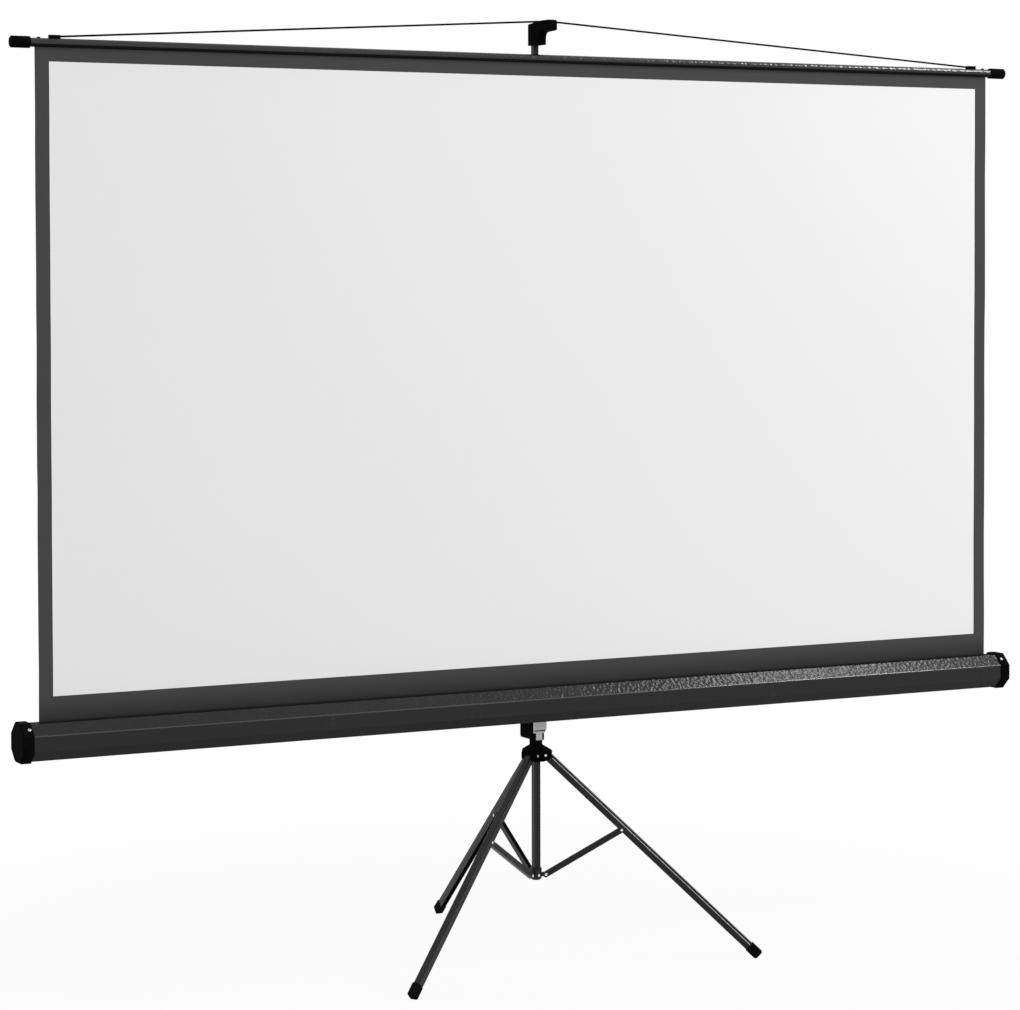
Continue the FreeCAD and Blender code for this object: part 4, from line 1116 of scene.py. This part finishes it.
@dataclass
class Tripod:
    """Crown, legs, braces, feet and their rivets."""

    places: Sequence[LegPlace] = tuple(LegPlace)
    pivot_radius: float = 0.0214
    crown_pivot_z: float = 0.4344
    hub_pivot_z: float = 0.1752
    rivet_radius: float = 0.183945
    rivet_z: float = 0.272981
    rivet: FastenerHead = FastenerHead(0.0030, 0.0018)
    hub_pin: FastenerHead = FastenerHead(0.0032, 0.0018)
    arm_half: float = 0.018
    leg_half_width: float = 0.0067
    leg_half_depth: float = 0.009
    leg_bevel: float = 0.0015
    brace_half_width: float = 0.005
    fall: float = math.radians(-43.3)
    fold_span: Span = (0.016, 0.596)
    shade_band_width: float = 0.0026
    highlight_width: float = 0.0013

    def pin_axis(self, place: LegPlace) -> Vector:
        """Returns the direction of a leg's pivot."""
        return Vector((math.sin(place.azimuth), -math.cos(place.azimuth), 0))

    def point(self, place: LegPlace, radius: float, z: float) -> Vector:
        """Returns the point at a distance from the mast and a height in a leg's plane."""
        x, y = radius * math.cos(place.azimuth), radius * math.sin(place.azimuth)
        return Vector((x, MAST_Y + y, z))

    def pair(self, place: LegPlace, radius: float, z: float, half: float) -> list[Seat]:
        """Returns the seats of both ends of a pin.

        Args:
            place: The leg.
            radius: The pin's distance from the mast.
            z: Its height.
            half: Half the width that it passes through.

        Returns:
            Places and axes for two heads.
        """
        axis = self.pin_axis(place)
        middle = self.point(place, radius, z)
        return [(middle + axis * half * end, axis * end) for end in BOTH]

    def fold_light_and_shade(self, place: LegPlace) -> None:
        """Lays a painted highlight line along a leg's fold and a painted dark band above it, on both
        sides.

        Args:
            place: The leg.
        """
        out = Vector((math.cos(place.azimuth), math.sin(place.azimuth), 0))
        along = out * math.cos(self.fall) + UP * math.sin(self.fall)
        rise = UP * math.cos(self.fall) - out * math.sin(self.fall)
        axis = self.pin_axis(place)
        pivot = self.point(place, self.pivot_radius, self.crown_pivot_z)
        start, end = (along * share for share in self.fold_span)
        edge = self.leg_half_depth - self.leg_bevel
        # A painted dark band along the top, then the painted highlight line below it.
        lines = ((edge - self.shade_band_width / 2, self.shade_band_width, 0),
                 (edge - self.shade_band_width - self.highlight_width / 2, self.highlight_width, 1))
        maker = bmesh.new()
        for sign in BOTH:
            side = pivot + axis * self.leg_half_width * sign
            for height, width, slot in lines:
                line = side + rise * height
                fold_strip(maker, line + start, line + end, rise * width / 2, axis * sign,
                           slot=slot)
        # Painted highlight: bright on the front-right leg, subtle on the other two.
        highlight_finish = "fold_highlight" if place is LegPlace.FRONT_RIGHT else "bend_sheen"
        body = f"leg_{place.value}"
        set_piece(f"{body}_creases", maker, ("trim_paint", highlight_finish), body)

    def build(self) -> None:
        """Dresses the tripod's nodes and sets its rivet heads."""
        dress("black_moulding", "crown")
        dress("bright_steel", "crown_pins")
        seats = []
        for place in self.places:
            seats += self.pair(place, self.pivot_radius, self.crown_pivot_z, self.arm_half)
        set_heads("crown_pin_heads", self.rivet, seats, "crown")
        for place in self.places:
            leg, brace, pins = (f"{part}_{place.value}" for part in ("leg", "brace", "brace_pins"))
            dress("tube_paint", leg, brace)
            dress("foot_rubber", f"foot_{place.value}")
            dress("bright_steel", f"leg_rivet_{place.value}", pins)
            seats = self.pair(place, self.rivet_radius, self.rivet_z, self.leg_half_width)
            set_heads(f"leg_rivet_heads_{place.value}", self.rivet, seats, leg)
            seats = self.pair(place, self.pivot_radius, self.hub_pivot_z, self.brace_half_width)
            set_heads(f"brace_pin_heads_{place.value}", self.hub_pin, seats, brace,
                      stands_for=pins)
            self.fold_light_and_shade(place)


@dataclass(frozen=True)
class SoftLamp:
    """A square studio lamp."""

    name: str
    place: Place
    aim: Place
    size: float
    energy: float

    def hang(self) -> None:
        """Puts the lamp in the scene."""
        data = bpy.data.lights.new(self.name, "AREA")
        data.size = self.size
        data.energy = self.energy
        lamp = bpy.data.objects.new(self.name, data)
        lamp.location = self.place
        lamp.rotation_mode = "QUATERNION"
        look = Vector(self.aim) - Vector(self.place)
        lamp.rotation_quaternion = look.to_track_quat("-Z", "Y")
        bpy.context.scene.collection.objects.link(lamp)


@dataclass
class Studio:
    """Floor, lamps, world and camera."""

    camera_place: Place = (-3.034, -5.77057, 1.470)
    yaw: float = 26.23
    pitch: float = 1.74
    roll: float = -0.157
    focal_px: float = 2998.0
    centre_px: Span = (431.0, 363.0)
    picture: tuple[int, int] = (1020, 1010)
    sensor: float = 36.0
    view_end: float = 200.0
    ambient: float = 0.92
    floor_tone: float = 0.55
    floor_reach: float = 60.0
    floor_glow: Span = (0.93, 1.0)
    shadow_reach: Span = (0.9, 2.0)
    lamps: Sequence[SoftLamp] = (
        SoftLamp("key", (3.85, -2.4, 4.7), (0.2, -0.17, 1.1), 1.0, 112.0),
        SoftLamp("top", (3.55, -0.85, 5.0), (0.4, -0.17, 1.2), 0.6, 18.0),
    )

    def camera(self) -> None:
        """Sets the camera at the photograph's angle."""
        data = bpy.data.cameras.new("camera")
        width, height = self.picture
        data.sensor_fit = "HORIZONTAL"
        data.sensor_width = self.sensor
        data.lens = self.focal_px * self.sensor / width
        data.shift_x = (width / 2 - self.centre_px[0]) / width
        data.shift_y = (self.centre_px[1] - height / 2) / width
        data.clip_end = self.view_end
        camera = bpy.data.objects.new("camera", data)
        bpy.context.scene.collection.objects.link(camera)
        yaw, pitch = math.radians(self.yaw), math.radians(self.pitch)
        look = Vector((math.sin(yaw) * math.cos(pitch), math.cos(yaw) * math.cos(pitch),
                       -math.sin(pitch)))
        tilt = Quaternion((0, 0, 1), math.radians(self.roll))
        camera.location = self.camera_place
        camera.rotation_mode = "QUATERNION"
        camera.rotation_quaternion = look.to_track_quat("-Z", "Y") @ tilt
        bpy.context.scene.camera = camera

    def floor(self) -> None:
        """Lays a pale floor that keeps the shadow."""
        mesh = bpy.data.meshes.new("floor")
        far = self.floor_reach
        corners = [(-far, -far, 0), (far, -far, 0), (far, far, 0), (-far, far, 0)]
        mesh.from_pydata(corners, [], [(0, 1, 2, 3)])
        floor = bpy.data.objects.new("floor", mesh)
        bpy.context.scene.collection.objects.link(floor)
        material, sheet = open_material("floor_white")
        matte = sheet.add("ShaderNodeBsdfDiffuse", {"Color": grey(self.floor_tone)})
        glow = sheet.add("ShaderNodeEmission", {"Color": WHITE})
        away = sheet.add("ShaderNodeVectorMath", {0: place_in(sheet)}, operation="LENGTH")
        clear = sheet.ramp(away.outputs["Value"], *self.shadow_reach, *self.floor_glow)
        shown = sheet.calc("MULTIPLY", sheet.seen(), clear)
        inputs = {"Fac": shown, 1: matte.outputs[0], 2: glow.outputs[0]}
        mix = sheet.add("ShaderNodeMixShader", inputs)
        sheet.add("ShaderNodeOutputMaterial", {"Surface": mix.outputs[0]})
        mesh.materials.append(material)

    def world(self) -> None:
        """Sets a plain white world that lights evenly."""
        world = bpy.data.worlds.new("studio")
        bpy.context.scene.world = world
        world.use_nodes = True
        world.node_tree.nodes.clear()
        sheet = NodeSheet(world.node_tree)
        strength = sheet.calc("MULTIPLY_ADD", sheet.seen(), 1.0 - self.ambient, self.ambient)
        sky = sheet.add("ShaderNodeBackground", {"Color": WHITE, "Strength": strength})
        sheet.add("ShaderNodeOutputWorld", {"Surface": sky.outputs[0]})

    def build(self) -> None:
        """Sets up the whole studio."""
        self.camera()
        self.floor()
        self.world()
        for lamp in self.lamps:
            lamp.hang()
        bpy.context.scene.view_settings.view_transform = "Standard"
        LOG.info("studio: camera, floor, world, %d lamps", len(self.lamps))


def main() -> None:
    """Builds and dresses every sub-assembly in order."""
    units = (ScreenSheet(), WoundRoll(), TopRail(), CaseUnit(), MastUnit(), Carriage(), Tripod(),
             Studio())
    for unit in units:
        unit.build()


if __name__ == "__main__":
    main()
